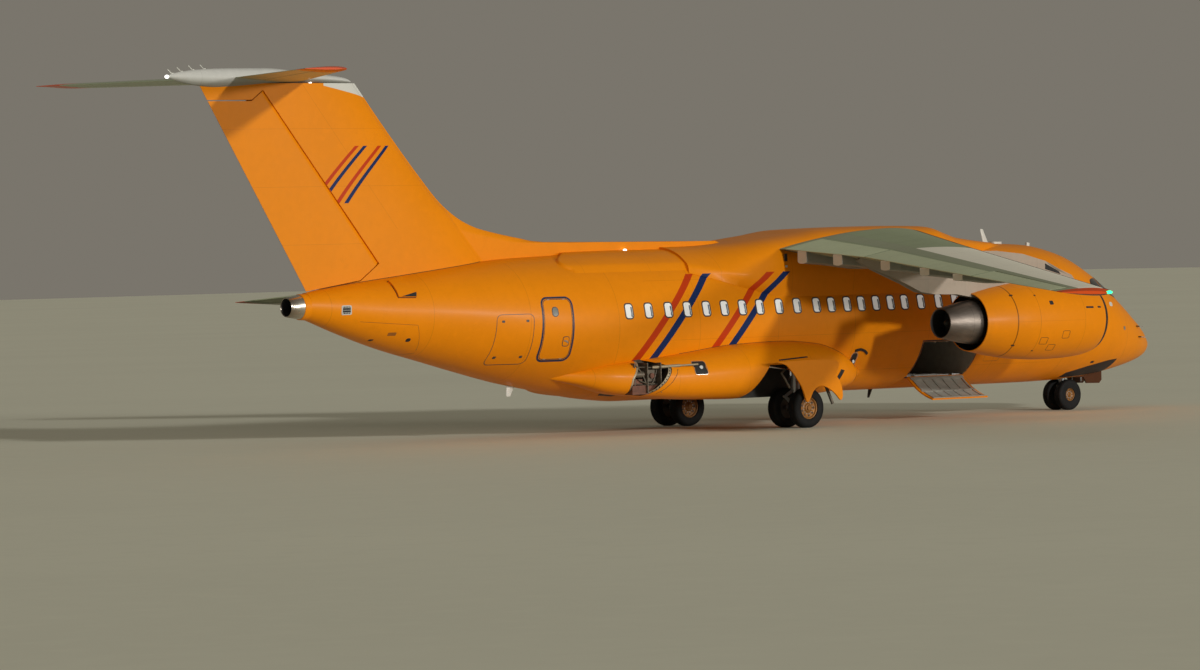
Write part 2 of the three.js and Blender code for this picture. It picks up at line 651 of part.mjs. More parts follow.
function finRing(row) {
  const rear = finTrailing(row.z);
  const mainFront = Math.max(row.front, finLeading(row.z));
  const half = (back) => {
    const f = Math.min(1, Math.max(0, (back - mainFront) / (rear - mainFront)));
    const blade = sectionShape(f) * FIN_THICKNESS * (rear - mainFront);
    const spine = SPINE_HALF * Math.min(1, Math.sqrt(Math.max(0, back - row.front) / 700)) * (1 - f);
    return Math.max(blade, spine) + EDGE_HALF;
  };
  const at = (f) => row.front + (rear - row.front) * f;
  const port = FIN_FRACTIONS.slice(1).map((f) => [aft(at(f)), half(at(f)), row.z]);
  const starboard = FIN_FRACTIONS.slice(1).map((f) => [aft(at(f)), -half(at(f)), row.z]).reverse();
  return [[aft(row.front), 0, row.z], ...port, ...starboard];
}

// Rudder: its round nose lies about the hinge line, and both its ends are square to that line.
const RUDDER_LOW = { back: 23850, z: 3910 };
const RUDDER_HIGH = { back: 26777, z: 7675 };
const RUDDER_HEEL = 411;
const RUDDER_SHOULDER = 285;
const RUDDER_GAP = 22;
const hingeLength = Math.hypot(RUDDER_HIGH.back - RUDDER_LOW.back, RUDDER_HIGH.z - RUDDER_LOW.z);
const hingeWay = {
  back: (RUDDER_HIGH.back - RUDDER_LOW.back) / hingeLength,
  z: (RUDDER_HIGH.z - RUDDER_LOW.z) / hingeLength,
};

// The fin's half thickness at a place on it.
function finHalf({ back, z }) {
  const [front, rear] = [finLeading(z), finTrailing(z)];
  return sectionShape((back - front) / (rear - front)) * FIN_THICKNESS * (rear - front) + EDGE_HALF;
}

// A point so far up along the hinge line and so far behind it, as [aft, height].
function offHinge(end, up, behind) {
  return [end.back + hingeWay.back * up + hingeWay.z * behind, end.z + hingeWay.z * up - hingeWay.back * behind];
}

const RUDDER_OUTLINE = [
  offHinge(RUDDER_LOW, 0, 0), offHinge(RUDDER_LOW, 0, RUDDER_HEEL), [26100, 3330], [28700, 7500],
  offHinge(RUDDER_HIGH, 0, RUDDER_SHOULDER), offHinge(RUDDER_HIGH, 0, 0),
];
const RUDDER_SPACE = [
  offHinge(RUDDER_LOW, -RUDDER_GAP, -finHalf(RUDDER_LOW) - RUDDER_GAP),
  offHinge(RUDDER_LOW, -RUDDER_GAP, RUDDER_HEEL + 170), [26100, 3200], [29000, 7500], [28900, 7600],
  [27010, 7535], offHinge(RUDDER_HIGH, RUDDER_GAP, -finHalf(RUDDER_HIGH) - RUDDER_GAP),
];

function rudderRing(end) {
  const radius = finHalf(end) * 0.97;
  return Array.from({ length: 16 }, (_, i) => {
    const angle = (2 * Math.PI * i) / 16;
    const [back, up] = offHinge(end, 0, radius * Math.cos(angle));
    return [aft(back), radius * Math.sin(angle), up];
  });
}

const finWhole = loft(FIN_ROWS.map(finRing)).subtract(fuselageMargin).subtract(crownMargin);
const rudderPins = hingePins([aft(RUDDER_LOW.back), 0, RUDDER_LOW.z], [aft(RUDDER_HIGH.back), 0, RUDDER_HIGH.z],
  RUDDER_GAP);
const rudder = finWhole
  .intersect(sidePlate(RUDDER_OUTLINE, -900, 900))
  .add(loft([RUDDER_LOW, RUDDER_HIGH].map(rudderRing)))
  .subtract(rudderPins.bores);
const fin = mainPart(finWhole.subtract(sidePlate(RUDDER_SPACE, -900, 900)).add(rudderPins.pins));
addPiece('fin', fin, PAINT, 0.35, 0);
addPiece('rudder', rudder, PAINT, 0.35, 0);

// Tailplane rows, in the same columns as the wing's.
const TAILPLANE_Z = 8000;
const TAILPLANE_TABLE = [
  { y: 0, front: 25400, rear: 27400, frontZ: TAILPLANE_Z, rearZ: TAILPLANE_Z, up: 95, down: 95 },
  { y: 4780, front: 27960, rear: 29080, frontZ: TAILPLANE_Z, rearZ: TAILPLANE_Z, up: 52, down: 52 },
  { y: 4920, front: 28180, rear: 29130, frontZ: TAILPLANE_Z, rearZ: TAILPLANE_Z, up: 20, down: 20 },
];
const ELEVATOR_FROM = 420;
const ELEVATOR_TO = 4650;
const halfTail = loft(TAILPLANE_TABLE.map(wingRing));
const elevatorSplit = splitSurface(halfTail, TAILPLANE_TABLE, ELEVATOR_FROM, ELEVATOR_TO, 0.68, 32, 16);
const tailplane = elevatorSplit.rest.add(acrossTheMiddle(elevatorSplit.rest));
addPiece('tailplane', tailplane, GREY, 0.45, 0);
for (const side of SIDES) {
  addPiece(`elevator_${side.tag}`, side.place(elevatorSplit.surface), GREY, 0.45, 0);
}

// Fairing on the fin's top, rows: aft, half width, bottom and top.
const TOP_FAIRING_TABLE = [
  { back: 24250, half: 40, low: FIN_TOP + SEAT, high: 7960 },
  { back: 24600, half: 110, low: FIN_TOP + SEAT, high: 8030 },
  { back: 25400, half: 190, low: FIN_TOP + SEAT, high: 8110 },
  { back: 26600, half: 215, low: FIN_TOP + SEAT, high: HEIGHT },
  { back: 27600, half: 190, low: FIN_TOP + SEAT, high: 8180 },
  { back: 28350, half: 130, low: FIN_TOP + SEAT, high: 8130 },
  { back: 28800, half: 75, low: 7920, high: 8075 },
  { back: 29100, half: 25, low: 7985, high: 8035 },
];
const fairingRing = (row) => Array.from({ length: 12 }, (_, i) => {
  const angle = (2 * Math.PI * i) / 12;
  const middle = (row.low + row.high) / 2;
  const reach = (row.high - row.low) / 2;
  return [aft(row.back), row.half * Math.cos(angle), middle + reach * Math.sin(angle)];
});
const topFairing = loft(TOP_FAIRING_TABLE.map(fairingRing)).subtract(withMargin(tailplane));
addPiece('fin_top_fairing', topFairing, GREY, 0.4, 0);

// Gear fairings on the fuselage sides

// Rows: aft, outer Y, top and bottom heights.
const SIDE_FAIRING_TABLE = [
  { back: 10700, outer: 1250, high: 1340, low: 1060 },
  { back: 11050, outer: 1560, high: 1500, low: 910 },
  { back: 11500, outer: 1850, high: 1700, low: 820 },
  { back: 12300, outer: 2150, high: 1900, low: 740 },
  { back: 13400, outer: 2290, high: 1975, low: 705 },
  { back: 14800, outer: 2290, high: 1940, low: 705 },
  { back: 16300, outer: 2150, high: 1790, low: 740 },
  { back: 17400, outer: 1930, high: 1690, low: 830 },
  { back: 18250, outer: 1640, high: 1640, low: 930 },
  { back: 19000, outer: 1200, high: 1520, low: 1160 },
];
const SIDE_FAIRING_INNER = 700;

function sideFairingRing(row) {
  const middle = { y: (row.outer + SIDE_FAIRING_INNER) / 2, z: (row.high + row.low) / 2 };
  return Array.from({ length: 20 }, (_, i) => {
    const angle = (2 * Math.PI * i) / 20;
    const [c, s] = [Math.cos(angle), Math.sin(angle)];
    const round = (value) => Math.sign(value) * Math.abs(value) ** 0.72;
    return [
      aft(row.back),
      middle.y + ((row.outer - SIDE_FAIRING_INNER) / 2) * round(c),
      middle.z + ((row.high - row.low) / 2) * round(s),
    ];
  });
}

const sideFairingWhole = loft(SIDE_FAIRING_TABLE.map(sideFairingRing)).subtract(fuselageMargin);
const WELL_OUTLINE = [[12780, 300], [12780, 1250], [12950, WELL_TOP], [14300, WELL_TOP], [14950, 700], [14950, 300]];
const portFairing = sideFairingWhole.subtract(sidePlate(WELL_OUTLINE, 1500, 3000));

// How far in the open service hatch reaches.
const HATCH_DEPTH_Y = 1380;

// Open service hatch at the rear of the starboard fairing, with its equipment block inside.
const HATCH_OUTLINE = [
  [17580, 870], [17310, 1000], [17140, 1160], [17010, 1345], [16950, 1500], [17170, 1590],
  [17670, 1600], [17810, 1450], [17940, 1255], [17960, 900],
];
const starboardFairing = acrossTheMiddle(portFairing).subtract(sidePlate(HATCH_OUTLINE, -2600, -HATCH_DEPTH_Y));
addPiece('gear_fairing_L', mainPart(portFairing), PAINT, 0.35, 0);
addPiece('gear_fairing_R', mainPart(starboardFairing), PAINT, 0.35, 0);

// Main gear

const flatRadius = (radius, segments) => radius / Math.cos(Math.PI / segments);
const WHEEL_SEGMENTS = 24;

// Twin wheels and their axle, turned in one: [Y from the middle, radius].
function twinWheels(radius, twin, width, hub, axle) {
  const rim = flatRadius(radius, WHEEL_SEGMENTS);
  const half = width / 2;
  const inner = twin - half;
  const outer = twin + half;
  const right = [
    [inner + 40, axle], [inner + 15, hub], [inner, radius * 0.8], [inner + 0.2 * width, rim],
    [outer - 0.2 * width, rim], [outer, radius * 0.8], [outer - 15, hub],
    [outer - 60, hub * 0.85], [outer - 60, hub * 0.3], [outer - 20, 0],
  ];
  const left = right.map(([side, r]) => [-side, r]).reverse();
  return [...left, ...right];
}

const MAIN_HUB = 225;
const mainWheelProfile = twinWheels(MAIN_RADIUS, MAIN_TWIN, MAIN_TYRE_WIDTH, MAIN_HUB, AXLE_RADIUS);
const bearingHole = (backwards, y, z, radius, reach) => {
  const profile = [[y - reach, 0], [y - reach, radius], [y + reach, radius], [y + reach, 0]];
  return turnedAlongY(profile, backwards, z, WHEEL_SEGMENTS);
};

// The leg: a cylinder from the well's roof, a sliding tube and the axle's bearing.
const legTop = WELL_TOP - SEAT;
const portLeg = turnedAlongZ([[800, 0], [800, 105], [legTop, 105], [legTop, 0]], MAIN_AFT, MAIN_Y, 16)
  .add(turnedAlongZ([[MAIN_RADIUS - 20, 0], [MAIN_RADIUS - 20, 75], [850, 75], [850, 0]], MAIN_AFT, MAIN_Y, 16))
  .add(bearingHole(MAIN_AFT, MAIN_Y, MAIN_RADIUS, 100, 95))
  .add(sidePlate([[13470, 900], [13740, 760], [13700, 700], [13440, 470], [13420, 560], [13600, 720], [13450, 830]],
    MAIN_Y - 45, MAIN_Y + 45))
  .subtract(bearingHole(MAIN_AFT, MAIN_Y, MAIN_RADIUS, AXLE_RADIUS + 1, 400));

// The leg door hangs outboard of the wheels, with an arch cut in its lower edge.
const LEG_DOOR_OUTLINE = [
  [14370, 1520], [14150, 1440], [13900, 1200], [13700, 930], [13600, 680], [13560, 600], [13500, 600],
  [13430, 700], [13340, 840], [13200, 925], [13050, 940], [12850, 860], [12680, 740], [12560, 620],
  [12500, 610], [12460, 700], [12480, 890], [12560, 1060], [12650, 1190], [12680, 1520],
];
const LEG_DOOR_Y = 2620;
const portLegDoor = sidePlate(LEG_DOOR_OUTLINE, LEG_DOOR_Y, LEG_DOOR_Y + 40)
  .add(box(13340, 13430, MAIN_Y + 104.5, LEG_DOOR_Y + 10, 1060, 1130))
  .add(box(13340, 13430, MAIN_Y + 104.5, LEG_DOOR_Y + 10, 1300, 1370))
  .subtract(turnedAlongZ([[1000, 0], [1000, 105.4], [1440, 105.4], [1440, 0]], MAIN_AFT, MAIN_Y, 16));

for (const side of SIDES) {
  const seat = [aft(MAIN_AFT), side.y * MAIN_Y, MAIN_RADIUS];
  const wheels = turnedAlongY(mainWheelProfile, MAIN_AFT, MAIN_RADIUS, WHEEL_SEGMENTS);
  addPiece(`main_leg_${side.tag}`, side.place(portLeg), STEEL, 0.4, 0.6);
  addPiece(`main_wheels_${side.tag}`, wheels.translate([0, seat[1], 0]), RUBBER, 0.8, 0, seat);
  addPiece(`leg_door_${side.tag}`, side.place(portLegDoor), PAINT, 0.35, 0);
}

// Nose gear

const NOSE_HUB = 150;
const NOSE_AXLE = 34;
const FORK_TOP = 760;
const noseLeg = turnedAlongZ([
  [FORK_TOP + 6, 0], [FORK_TOP + 6, 88], [NOSE_BAY_TOP - SEAT, 88], [NOSE_BAY_TOP - SEAT, 0],
], NOSE_GEAR_AFT, 0, 32)
  .subtract(turnedAlongZ([[600, 0], [600, 52.8], [1000, 52.8], [1000, 0]], NOSE_GEAR_AFT, 0, 32));
const noseFork = turnedAlongZ([
  [NOSE_RADIUS - 10, 0], [NOSE_RADIUS - 10, 60], [FORK_TOP - 120, 60], [FORK_TOP - 110, 80],
  [FORK_TOP, 80], [FORK_TOP, 52], [980, 52], [980, 0],
], NOSE_GEAR_AFT, 0, 32)
  .add(bearingHole(NOSE_GEAR_AFT, 0, NOSE_RADIUS, 62, 52))
  .add(box(NOSE_GEAR_AFT - 150, NOSE_GEAR_AFT, -40, 40, 520, 600))
  .subtract(bearingHole(NOSE_GEAR_AFT, 0, NOSE_RADIUS, NOSE_AXLE + 1, 400));
const noseWheelProfile = twinWheels(NOSE_RADIUS, NOSE_TWIN, NOSE_TYRE_WIDTH, NOSE_HUB, NOSE_AXLE);
addPiece('nose_leg', noseLeg, STEEL, 0.4, 0.6);
addPiece('nose_fork', noseFork, STEEL, 0.4, 0.6);
addPiece('nose_wheels', turnedAlongY(noseWheelProfile, NOSE_GEAR_AFT, NOSE_RADIUS, WHEEL_SEGMENTS),
  RUBBER, 0.8, 0, [aft(NOSE_GEAR_AFT), 0, NOSE_RADIUS]);

// Doors of the nose bay hang down along its two long edges.
const NOSE_DOOR_OUTLINE = [[1850, 940], [2900, 940], [2900, 790], [2460, 780], [2360, 630], [1930, 620], [1850, 700]];
const portNoseDoor = sidePlate(NOSE_DOOR_OUTLINE, 262, 299.7);
for (const side of SIDES) {
  addPiece(`nose_door_${side.tag}`, side.place(portNoseDoor), PAINT, 0.35, 0);
}

export default aircraft;
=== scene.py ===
# A high-wing regional jet airliner that stands on its gear, in metres.
# +X points forward, +Y to port and +Z up. Places along the aircraft are distances aft of the nose.
import math

import bmesh
import bpy
from mathutils import Matrix, Vector


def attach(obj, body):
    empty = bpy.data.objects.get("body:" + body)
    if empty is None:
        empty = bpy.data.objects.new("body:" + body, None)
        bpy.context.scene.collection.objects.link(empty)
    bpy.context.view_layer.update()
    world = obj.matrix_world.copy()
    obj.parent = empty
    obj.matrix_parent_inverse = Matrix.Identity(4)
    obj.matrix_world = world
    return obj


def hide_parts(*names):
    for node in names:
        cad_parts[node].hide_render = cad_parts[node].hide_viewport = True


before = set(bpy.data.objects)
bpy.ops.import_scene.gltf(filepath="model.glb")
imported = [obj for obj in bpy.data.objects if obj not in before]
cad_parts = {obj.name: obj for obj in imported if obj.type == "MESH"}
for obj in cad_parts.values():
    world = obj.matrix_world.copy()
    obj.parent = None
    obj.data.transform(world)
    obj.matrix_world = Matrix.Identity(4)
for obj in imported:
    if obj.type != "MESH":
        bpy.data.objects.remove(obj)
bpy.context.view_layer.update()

# Driving dimensions, the same as the solids'
NOSE_X = 14.565
HALF_SPAN = 14.455
SEAT = 0.0003
FUSELAGE_END = 25.65
EXHAUST_Z = 3.06
HOLD_FRONT, HOLD_REAR = 7.1, 8.9
HOLD_FLOOR, HOLD_TOP, HOLD_INNER_Y = 1.0, 1.82, 0.9
ENGINE_Y, ENGINE_Z = 4.1, 2.29
FAN_AFT, FAN_RADIUS = 7.18, 0.683
MAIN_AFT, MAIN_Y, MAIN_RADIUS = 13.385, 2.071, 0.451
NOSE_GEAR_AFT, NOSE_RADIUS = 2.914, 0.37
SIDES = [("L", 1), ("R", -1)]


def aft(distance):
    return NOSE_X - distance


# Numbers along a table

def smooth_curve(places, values):
    """A curve through the table's values that never overshoots them."""
    count = len(places)
    slopes = [(values[i + 1] - values[i]) / (places[i + 1] - places[i]) for i in range(count - 1)]
    tangents = [slopes[0]]
    for left, right in zip(slopes, slopes[1:]):
        tangents.append(0 if left * right <= 0 else 2 * left * right / (left + right))
    tangents.append(slopes[-1])

    def at(place):
        if place <= places[0]:
            return values[0]
        if place >= places[-1]:
            return values[-1]
        i = max(k for k in range(count - 1) if places[k] <= place)
        width = places[i + 1] - places[i]
        t = (place - places[i]) / width
        start = (2 * t ** 3 - 3 * t ** 2 + 1) * values[i] + width * (t ** 3 - 2 * t ** 2 + t) * tangents[i]
        end = (3 * t ** 2 - 2 * t ** 3) * values[i + 1] + width * (t ** 3 - t ** 2) * tangents[i + 1]
        return start + end

    return at


def spread(start, end, steps):
    return [start + (end - start) * i / steps for i in range(steps + 1)]


def around(count, shift=0.0):
    """Evenly spread angles, once around a circle."""
    return [2 * math.pi * (i + shift) / count for i in range(count)]


def between(side, near, far):
    """Two distances from the aircraft's middle as a low and a high Y, on one side."""
    return sorted((side * near, side * far))


def along_x(profile):
    """A profile of (aft, radius) points with X in place of the distance aft."""
    return [(aft(back), radius) for back, radius in profile]


def table_rows(table, steps):
    """Rows of a table at evenly spread places, smoothed between its own rows."""
    places = [row[0] for row in table]
    curves = [smooth_curve(places, [row[k] for row in table]) for k in range(1, len(table[0]))]
    return [(place, *[curve(place) for curve in curves]) for place in spread(places[0], places[-1], steps)]


def row_between(rows, y):
    """The row of a wing's table at a place between two of its rows."""
    i = next(k for k in range(1, len(rows)) if rows[k][0] >= y - 1e-9)
    inner, outer = rows[i - 1], rows[i]
    t = (y - inner[0]) / (outer[0] - inner[0])
    return tuple(a + (b - a) * t for a, b in zip(inner, outer))


# Node materials

class Value:
    """A number in a node tree that ordinary arithmetic works on."""

    def __init__(self, tree, socket):
        self.tree = tree
        self.socket = socket

    def math(self, operation, *others, clamp=False):
        node = self.tree.nodes.new("ShaderNodeMath")
        node.operation = operation
        node.use_clamp = clamp
        for i, value in enumerate((self, *others)):
            if isinstance(value, Value):
                self.tree.links.new(value.socket, node.inputs[i])
            else:
                node.inputs[i].default_value = value
        return Value(self.tree, node.outputs[0])

    def __add__(self, other):
        return self.math("ADD", other)

    def __sub__(self, other):
        return self.math("SUBTRACT", other)

    def __mul__(self, other):
        return self.math("MULTIPLY", other)

    __radd__ = __add__
    __rmul__ = __mul__

    def size(self):
        return self.math("ABSOLUTE")

    def clamped(self):
        return self.math("ADD", 0.0, clamp=True)

    def above(self, edge, softness=0.004):
        """0 below the edge and 1 above it, with a soft step between."""
        return ((self - edge) * (0.5 / softness)).math("ADD", 0.5, clamp=True)

    def below(self, edge, softness=0.004):
        return ((self - edge) * (-0.5 / softness)).math("ADD", 0.5, clamp=True)

    def line(self, place, width):
        """1 on a line at a value, fading to 0 at its width."""
        return ((self - place).size() * (-1.0 / width)).math("ADD", 1.0, clamp=True)

    def lines(self, pitch, width, shift=0.0):
        """Lines repeated at a pitch."""
        return (self + shift).math("PINGPONG", pitch / 2).line(0.0, width)


class Shader:
    """A Principled material with a few ready inputs in the aircraft's own frame."""

    def __init__(self, name, colour, rough=0.4, metal=0.0, coat=0.0, coat_rough=0.1, specular=0.5):
        self.material = bpy.data.materials.new(name)
        self.material.use_nodes = True
        self.tree = self.material.node_tree
        self.main = self.tree.nodes["Principled BSDF"]
        self.main.inputs["Base Color"].default_value = (*colour, 1)
        self.main.inputs["Roughness"].default_value = rough
        self.main.inputs["Metallic"].default_value = metal
        self.main.inputs["Coat Weight"].default_value = coat
        self.main.inputs["Coat Roughness"].default_value = coat_rough
        self.main.inputs["Specular IOR Level"].default_value = specular
        self.material.diffuse_color = (*colour, 1)
        self.colour = None
        self.plain = colour
        place = self.tree.nodes.new("ShaderNodeTexCoord")
        self.place = place.outputs["Object"]
        parts = self.tree.nodes.new("ShaderNodeSeparateXYZ")
        self.tree.links.new(self.place, parts.inputs[0])
        self.x, self.y, self.z = [Value(self.tree, parts.outputs[i]) for i in range(3)]
        self.back = (self.x * -1.0) + NOSE_X

    def noise(self, scale, detail=3.0, stretch=(1, 1, 1)):
        mapping = self.tree.nodes.new("ShaderNodeMapping")
        mapping.inputs["Scale"].default_value = stretch
        self.tree.links.new(self.place, mapping.inputs["Vector"])
        node = self.tree.nodes.new("ShaderNodeTexNoise")
        node.inputs["Scale"].default_value = scale
        node.inputs["Detail"].default_value = detail
        self.tree.links.new(mapping.outputs[0], node.inputs["Vector"])
        return Value(self.tree, node.outputs[0])

    def facing(self, axis):
        """1 where the surface faces along an axis (0 forward, 2 up) and -1 where it faces the other way."""
        node = self.tree.nodes.new("ShaderNodeNewGeometry")
        parts = self.tree.nodes.new("ShaderNodeSeparateXYZ")
        self.tree.links.new(node.outputs["Normal"], parts.inputs[0])
        return Value(self.tree, parts.outputs[axis])

    def tint(self, amount, colour):
        """Mixes a colour over what is there, by an amount from 0 to 1."""
        node = self.tree.nodes.new("ShaderNodeMix")
        node.data_type = "RGBA"
        factor, first, second = node.inputs[0], node.inputs[6], node.inputs[7]
        self.tree.links.new(amount.socket, factor)
        if self.colour is None:
            first.default_value = (*self.plain, 1)
        else:
            self.tree.links.new(self.colour, first)
        second.default_value = (*colour, 1)
        self.colour = node.outputs[2]

    def vary(self, scale, share, detail=4.0, stretch=(1, 1, 1)):
        """Makes the colour a little lighter and darker in patches."""
        patch = self.noise(scale, detail, stretch)
        dark = tuple(c * (1 - share) for c in self.plain)
        light = tuple(min(1, c * (1 + share)) for c in self.plain)
        self.tint(((patch - 0.5) * 4.0).clamped(), light)
        self.tint(((patch - 0.5) * -4.0).clamped(), dark)

    def roughness(self, value):
        self.tree.links.new(value.socket, self.main.inputs["Roughness"])

    def bump(self, height, depth, coat=True):
        node = self.tree.nodes.new("ShaderNodeBump")
        node.inputs["Strength"].default_value = 1.0
        node.inputs["Distance"].default_value = depth
        self.tree.links.new(height.socket, node.inputs["Height"])
        self.tree.links.new(node.outputs[0], self.main.inputs["Normal"])
        if coat:
            self.tree.links.new(node.outputs[0], self.main.inputs["Coat Normal"])

    def glow(self, colour, strength):
        self.main.inputs["Emission Color"].default_value = (*colour, 1)
        self.main.inputs["Emission Strength"].default_value = strength

    def done(self):
        if self.colour is not None:
            self.tree.links.new(self.colour, self.main.inputs["Base Color"])
        return self.material


ORANGE = (0.80, 0.245, 0.0012)
ORANGE_RED = (0.66, 0.072, 0.004)
DARK_BLUE = (0.006, 0.022, 0.10)
WING_GREY = (0.325, 0.38, 0.235)
SEAM = (0.10, 0.035, 0.004)
GREY_SEAM = (0.11, 0.12, 0.10)


def painted(name, colour=ORANGE):
    """Glossy aircraft paint with a slight waviness of the sheet under it and a little dirt."""
    s = Shader(name, colour, rough=0.42, coat=0.08, coat_rough=0.25, specular=0.13)
    s.vary(0.55, 0.05)
    s.vary(6.0, 0.025, detail=6.0)
    return s


SHEET_WAVE, GREY_WAVE = 0.0016, 0.0012


def finish_paint(s, seams=None):
    """Panel seams darken and sink the paint. Waviness is the sheet's own."""
    height = s.noise(1.3, 2.0) * 0.5 + s.noise(60.0, 2.0) * 0.02
    if seams is not None:
        s.tint(seams * 0.62, SEAM)
        height = height + seams * -0.6
    s.bump(height, SHEET_WAVE)
    s.roughness(s.noise(2.2, 5.0) * 0.14 + 0.38)
    return s.done()


def cross_seams(along, pitch, width, shift, share):
    """Seams at an even pitch along a direction, as strong as a share."""
    return (along.lines(pitch, width, shift) * share).clamped()


def livery(s, middle, height, bands):
    """Parallel bands that lean forward in a gentle curve, from (place, width, colour) rows."""
    up = s.z - height
    lean = s.back + up * 0.95 + up * up * 0.16
    reach = up.size().below(middle[1], 0.006)
    for place, width, colour in bands:
        mask = (lean - (middle[0] + place)).size().below(width / 2, 0.005) * reach
        s.tint(mask, colour)
    return s


BAND_RED = (0.50, 0.040, 0.003)
BODY_BANDS = [(-1.55, 0.22, DARK_BLUE), (-1.08, 0.22, BAND_RED),
              (0.55, 0.22, DARK_BLUE), (1.02, 0.22, BAND_RED)]
FIN_BANDS = [(-0.42, 0.11, DARK_BLUE), (-0.19, 0.11, BAND_RED),
             (0.22, 0.11, DARK_BLUE), (0.45, 0.11, BAND_RED)]
# The middle's distance aft and how far the bands reach up and down from it, its height, and the bands
BODY_LIVERY = ((15.9, 1.05), 2.5, BODY_BANDS)
FIN_LIVERY = ((24.5, 0.62), 5.9, FIN_BANDS)


def fuselage_paint():
    s = painted("fuselage_paint")
    livery(s, *BODY_LIVERY)
    streak = s.noise(1.6, 5.0, stretch=(1, 1, 0.16))
    low = s.z.below(1.25, 0.7)
    s.tint(((streak - 0.42) * 1.9).clamped() * low * 0.42, (0.22, 0.10, 0.02))
    seams = s.back.lines(2.35, 0.008, 0.62) * 0.55
    lap = s.z.line(3.42, 0.007) + s.z.line(2.08, 0.007) + s.z.line(1.22, 0.007)
    seams = (seams + lap * 0.45 * s.back.above(4.6, 0.01) * s.back.below(17.2, 0.01)).clamped()
    rivets = s.back.lines(0.535, 0.012) * s.z.lines(0.075, 0.012)
    s.tint(rivets * 0.16, SEAM)
    return finish_paint(s, seams)


def grey_paint(name, seams, colour=WING_GREY):
    """Dull grey paint, streaked along the flow, with painted shade on faces that look down, and seams from a
    function.
    """
    s = Shader(name, colour, rough=0.5, specular=0.12)
    s.vary(0.8, 0.06)
    s.vary(9.0, 0.035, detail=6.0)
    grime = s.noise(2.4, 6.0, stretch=(0.25, 1, 1))
    s.tint(((grime - 0.5) * 1.8).clamped() * 0.35, tuple(c * 0.6 for c in colour))
    lines = seams(s)
    # Painted shade: faces that look down are darkened
    s.tint(s.facing(2).below(-0.25, 0.3) * 0.6, (0.13, 0.125, 0.085))
    s.tint(lines * 0.7, GREY_SEAM)
    s.bump(s.noise(1.7, 2.0) * 0.5 + lines * -0.6, GREY_WAVE)
    s.roughness(s.noise(3.1, 5.0) * 0.14 + 0.44)
    return s.done()


def plain_finish(name, colour, rough=0.5, metal=0.0, scale=8.0, share=0.12, coat=0.0):
    """A small part's finish: one colour in uneven patches, with grain and a fine bump."""
    s = Shader(name, colour, rough=rough, metal=metal, coat=coat)
    s.vary(scale, share)
    s.roughness(s.noise(scale * 2.3, 4.0) * 0.16 + (rough - 0.08))
    s.bump(s.noise(scale * 3, 3.0), 0.0006, coat=False)
    return s.done()


# Shapes

class Shape:
    """Points and faces of one piece, with the number of each face's material."""

    def __init__(self):
        self.points = []
        self.faces = []
        self.kinds = []

    def add(self, points, faces, kind=0):
        start = len(self.points)
        self.points.extend(tuple(point) for point in points)
        self.faces.extend(tuple(start + i for i in face) for face in faces)
        self.kinds.extend([kind] * len(faces))
        return self

    def loft(self, rings, kind=0, caps=True, loop=False):
        """A skin through rings of points, capped at both ends or joined into a loop."""
        count = len(rings[0])
        points = [point for ring in rings for point in ring]
        faces = []
        for r in range(len(rings) if loop else len(rings) - 1):
            after = (r + 1) % len(rings)
            for i in range(count):
                j = (i + 1) % count
                faces.append((r * count + i, r * count + j, after * count + j, after * count + i))
        if caps and not loop:
            faces.append(tuple(reversed(range(count))))
            faces.append(tuple(range((len(rings) - 1) * count, len(rings) * count)))
        return self.add(points, faces, kind)

    def turned(self, profile, centre, axis="X", segments=48, kind=0, loop=False):
        """A body turned about an axis, from [place along it, radius] points."""
        rings = []
        for along, radius in profile:
            ring = []
            for a in around(segments):
                c, s = radius * math.cos(a), radius * math.sin(a)
                offset = {"X": (along, c, s), "Y": (c, along, s), "Z": (c, s, along)}[axis]
                ring.append(Vector(centre) + Vector(offset))
            rings.append(ring)
        return self.loft(rings, kind, caps=False, loop=loop)

    def rod(self, start, end, radius, kind=0, segments=12):
        start, end = Vector(start), Vector(end)
        way = (end - start).normalized()
        side = way.orthogonal().normalized()
        other = way.cross(side)
        edge = [(side * math.cos(a) + other * math.sin(a)) * radius for a in around(segments)]
        return self.loft([[point + offset for offset in edge] for point in (start, end)], kind)

    def pipe(self, path, radius, kind=0, segments=8):
        for start, end in zip(path, path[1:]):
            self.rod(start, end, radius, kind, segments)

    def box(self, low, high, kind=0, turn=None, about=(0, 0, 0)):
        spans = list(zip(low, high))
        corners = [Vector((x, y, z)) for x in spans[0] for y in spans[1] for z in spans[2]]
        if turn is not None:
            corners = [turn @ (corner - Vector(about)) + Vector(about) for corner in corners]
        faces = [(0, 1, 3, 2), (4, 6, 7, 5), (0, 4, 5, 1), (2, 3, 7, 6), (0, 2, 6, 4), (1, 5, 7, 3)]
        return self.add(corners, faces, kind)

    def plate(self, outline, low, high, kind=0):
        """An outline of (aft, z) points as a plate between two values of Y."""
        rings = [[(aft(back), y, z) for back, z in outline] for y in (low, high)]
        return self.loft(rings, kind)

    def slab(self, top, bottom, kind=0):
        """A closed sheet between two grids of points."""
        rows, columns = len(top), len(top[0])
        points = [p for row in top for p in row] + [p for row in bottom for p in row]
        shift = rows * columns
        faces = []
        for r in range(rows - 1):
            for c in range(columns - 1):
                a, b = r * columns + c, r * columns + c + 1
                d, e = a + columns, b + columns
                faces.append((a, b, e, d))
                faces.append((a + shift, d + shift, e + shift, b + shift))
        edge = [(0, c) for c in range(columns)] + [(r, columns - 1) for r in range(1, rows)]
        edge += [(rows - 1, c) for c in range(columns - 2, -1, -1)] + [(r, 0) for r in range(rows - 2, 0, -1)]
        numbers = [r * columns + c for r, c in edge]
        for i, a in enumerate(numbers):
            b = numbers[(i + 1) % len(numbers)]
            faces.append((a, a + shift, b + shift, b))
        return self.add(points, faces, kind)


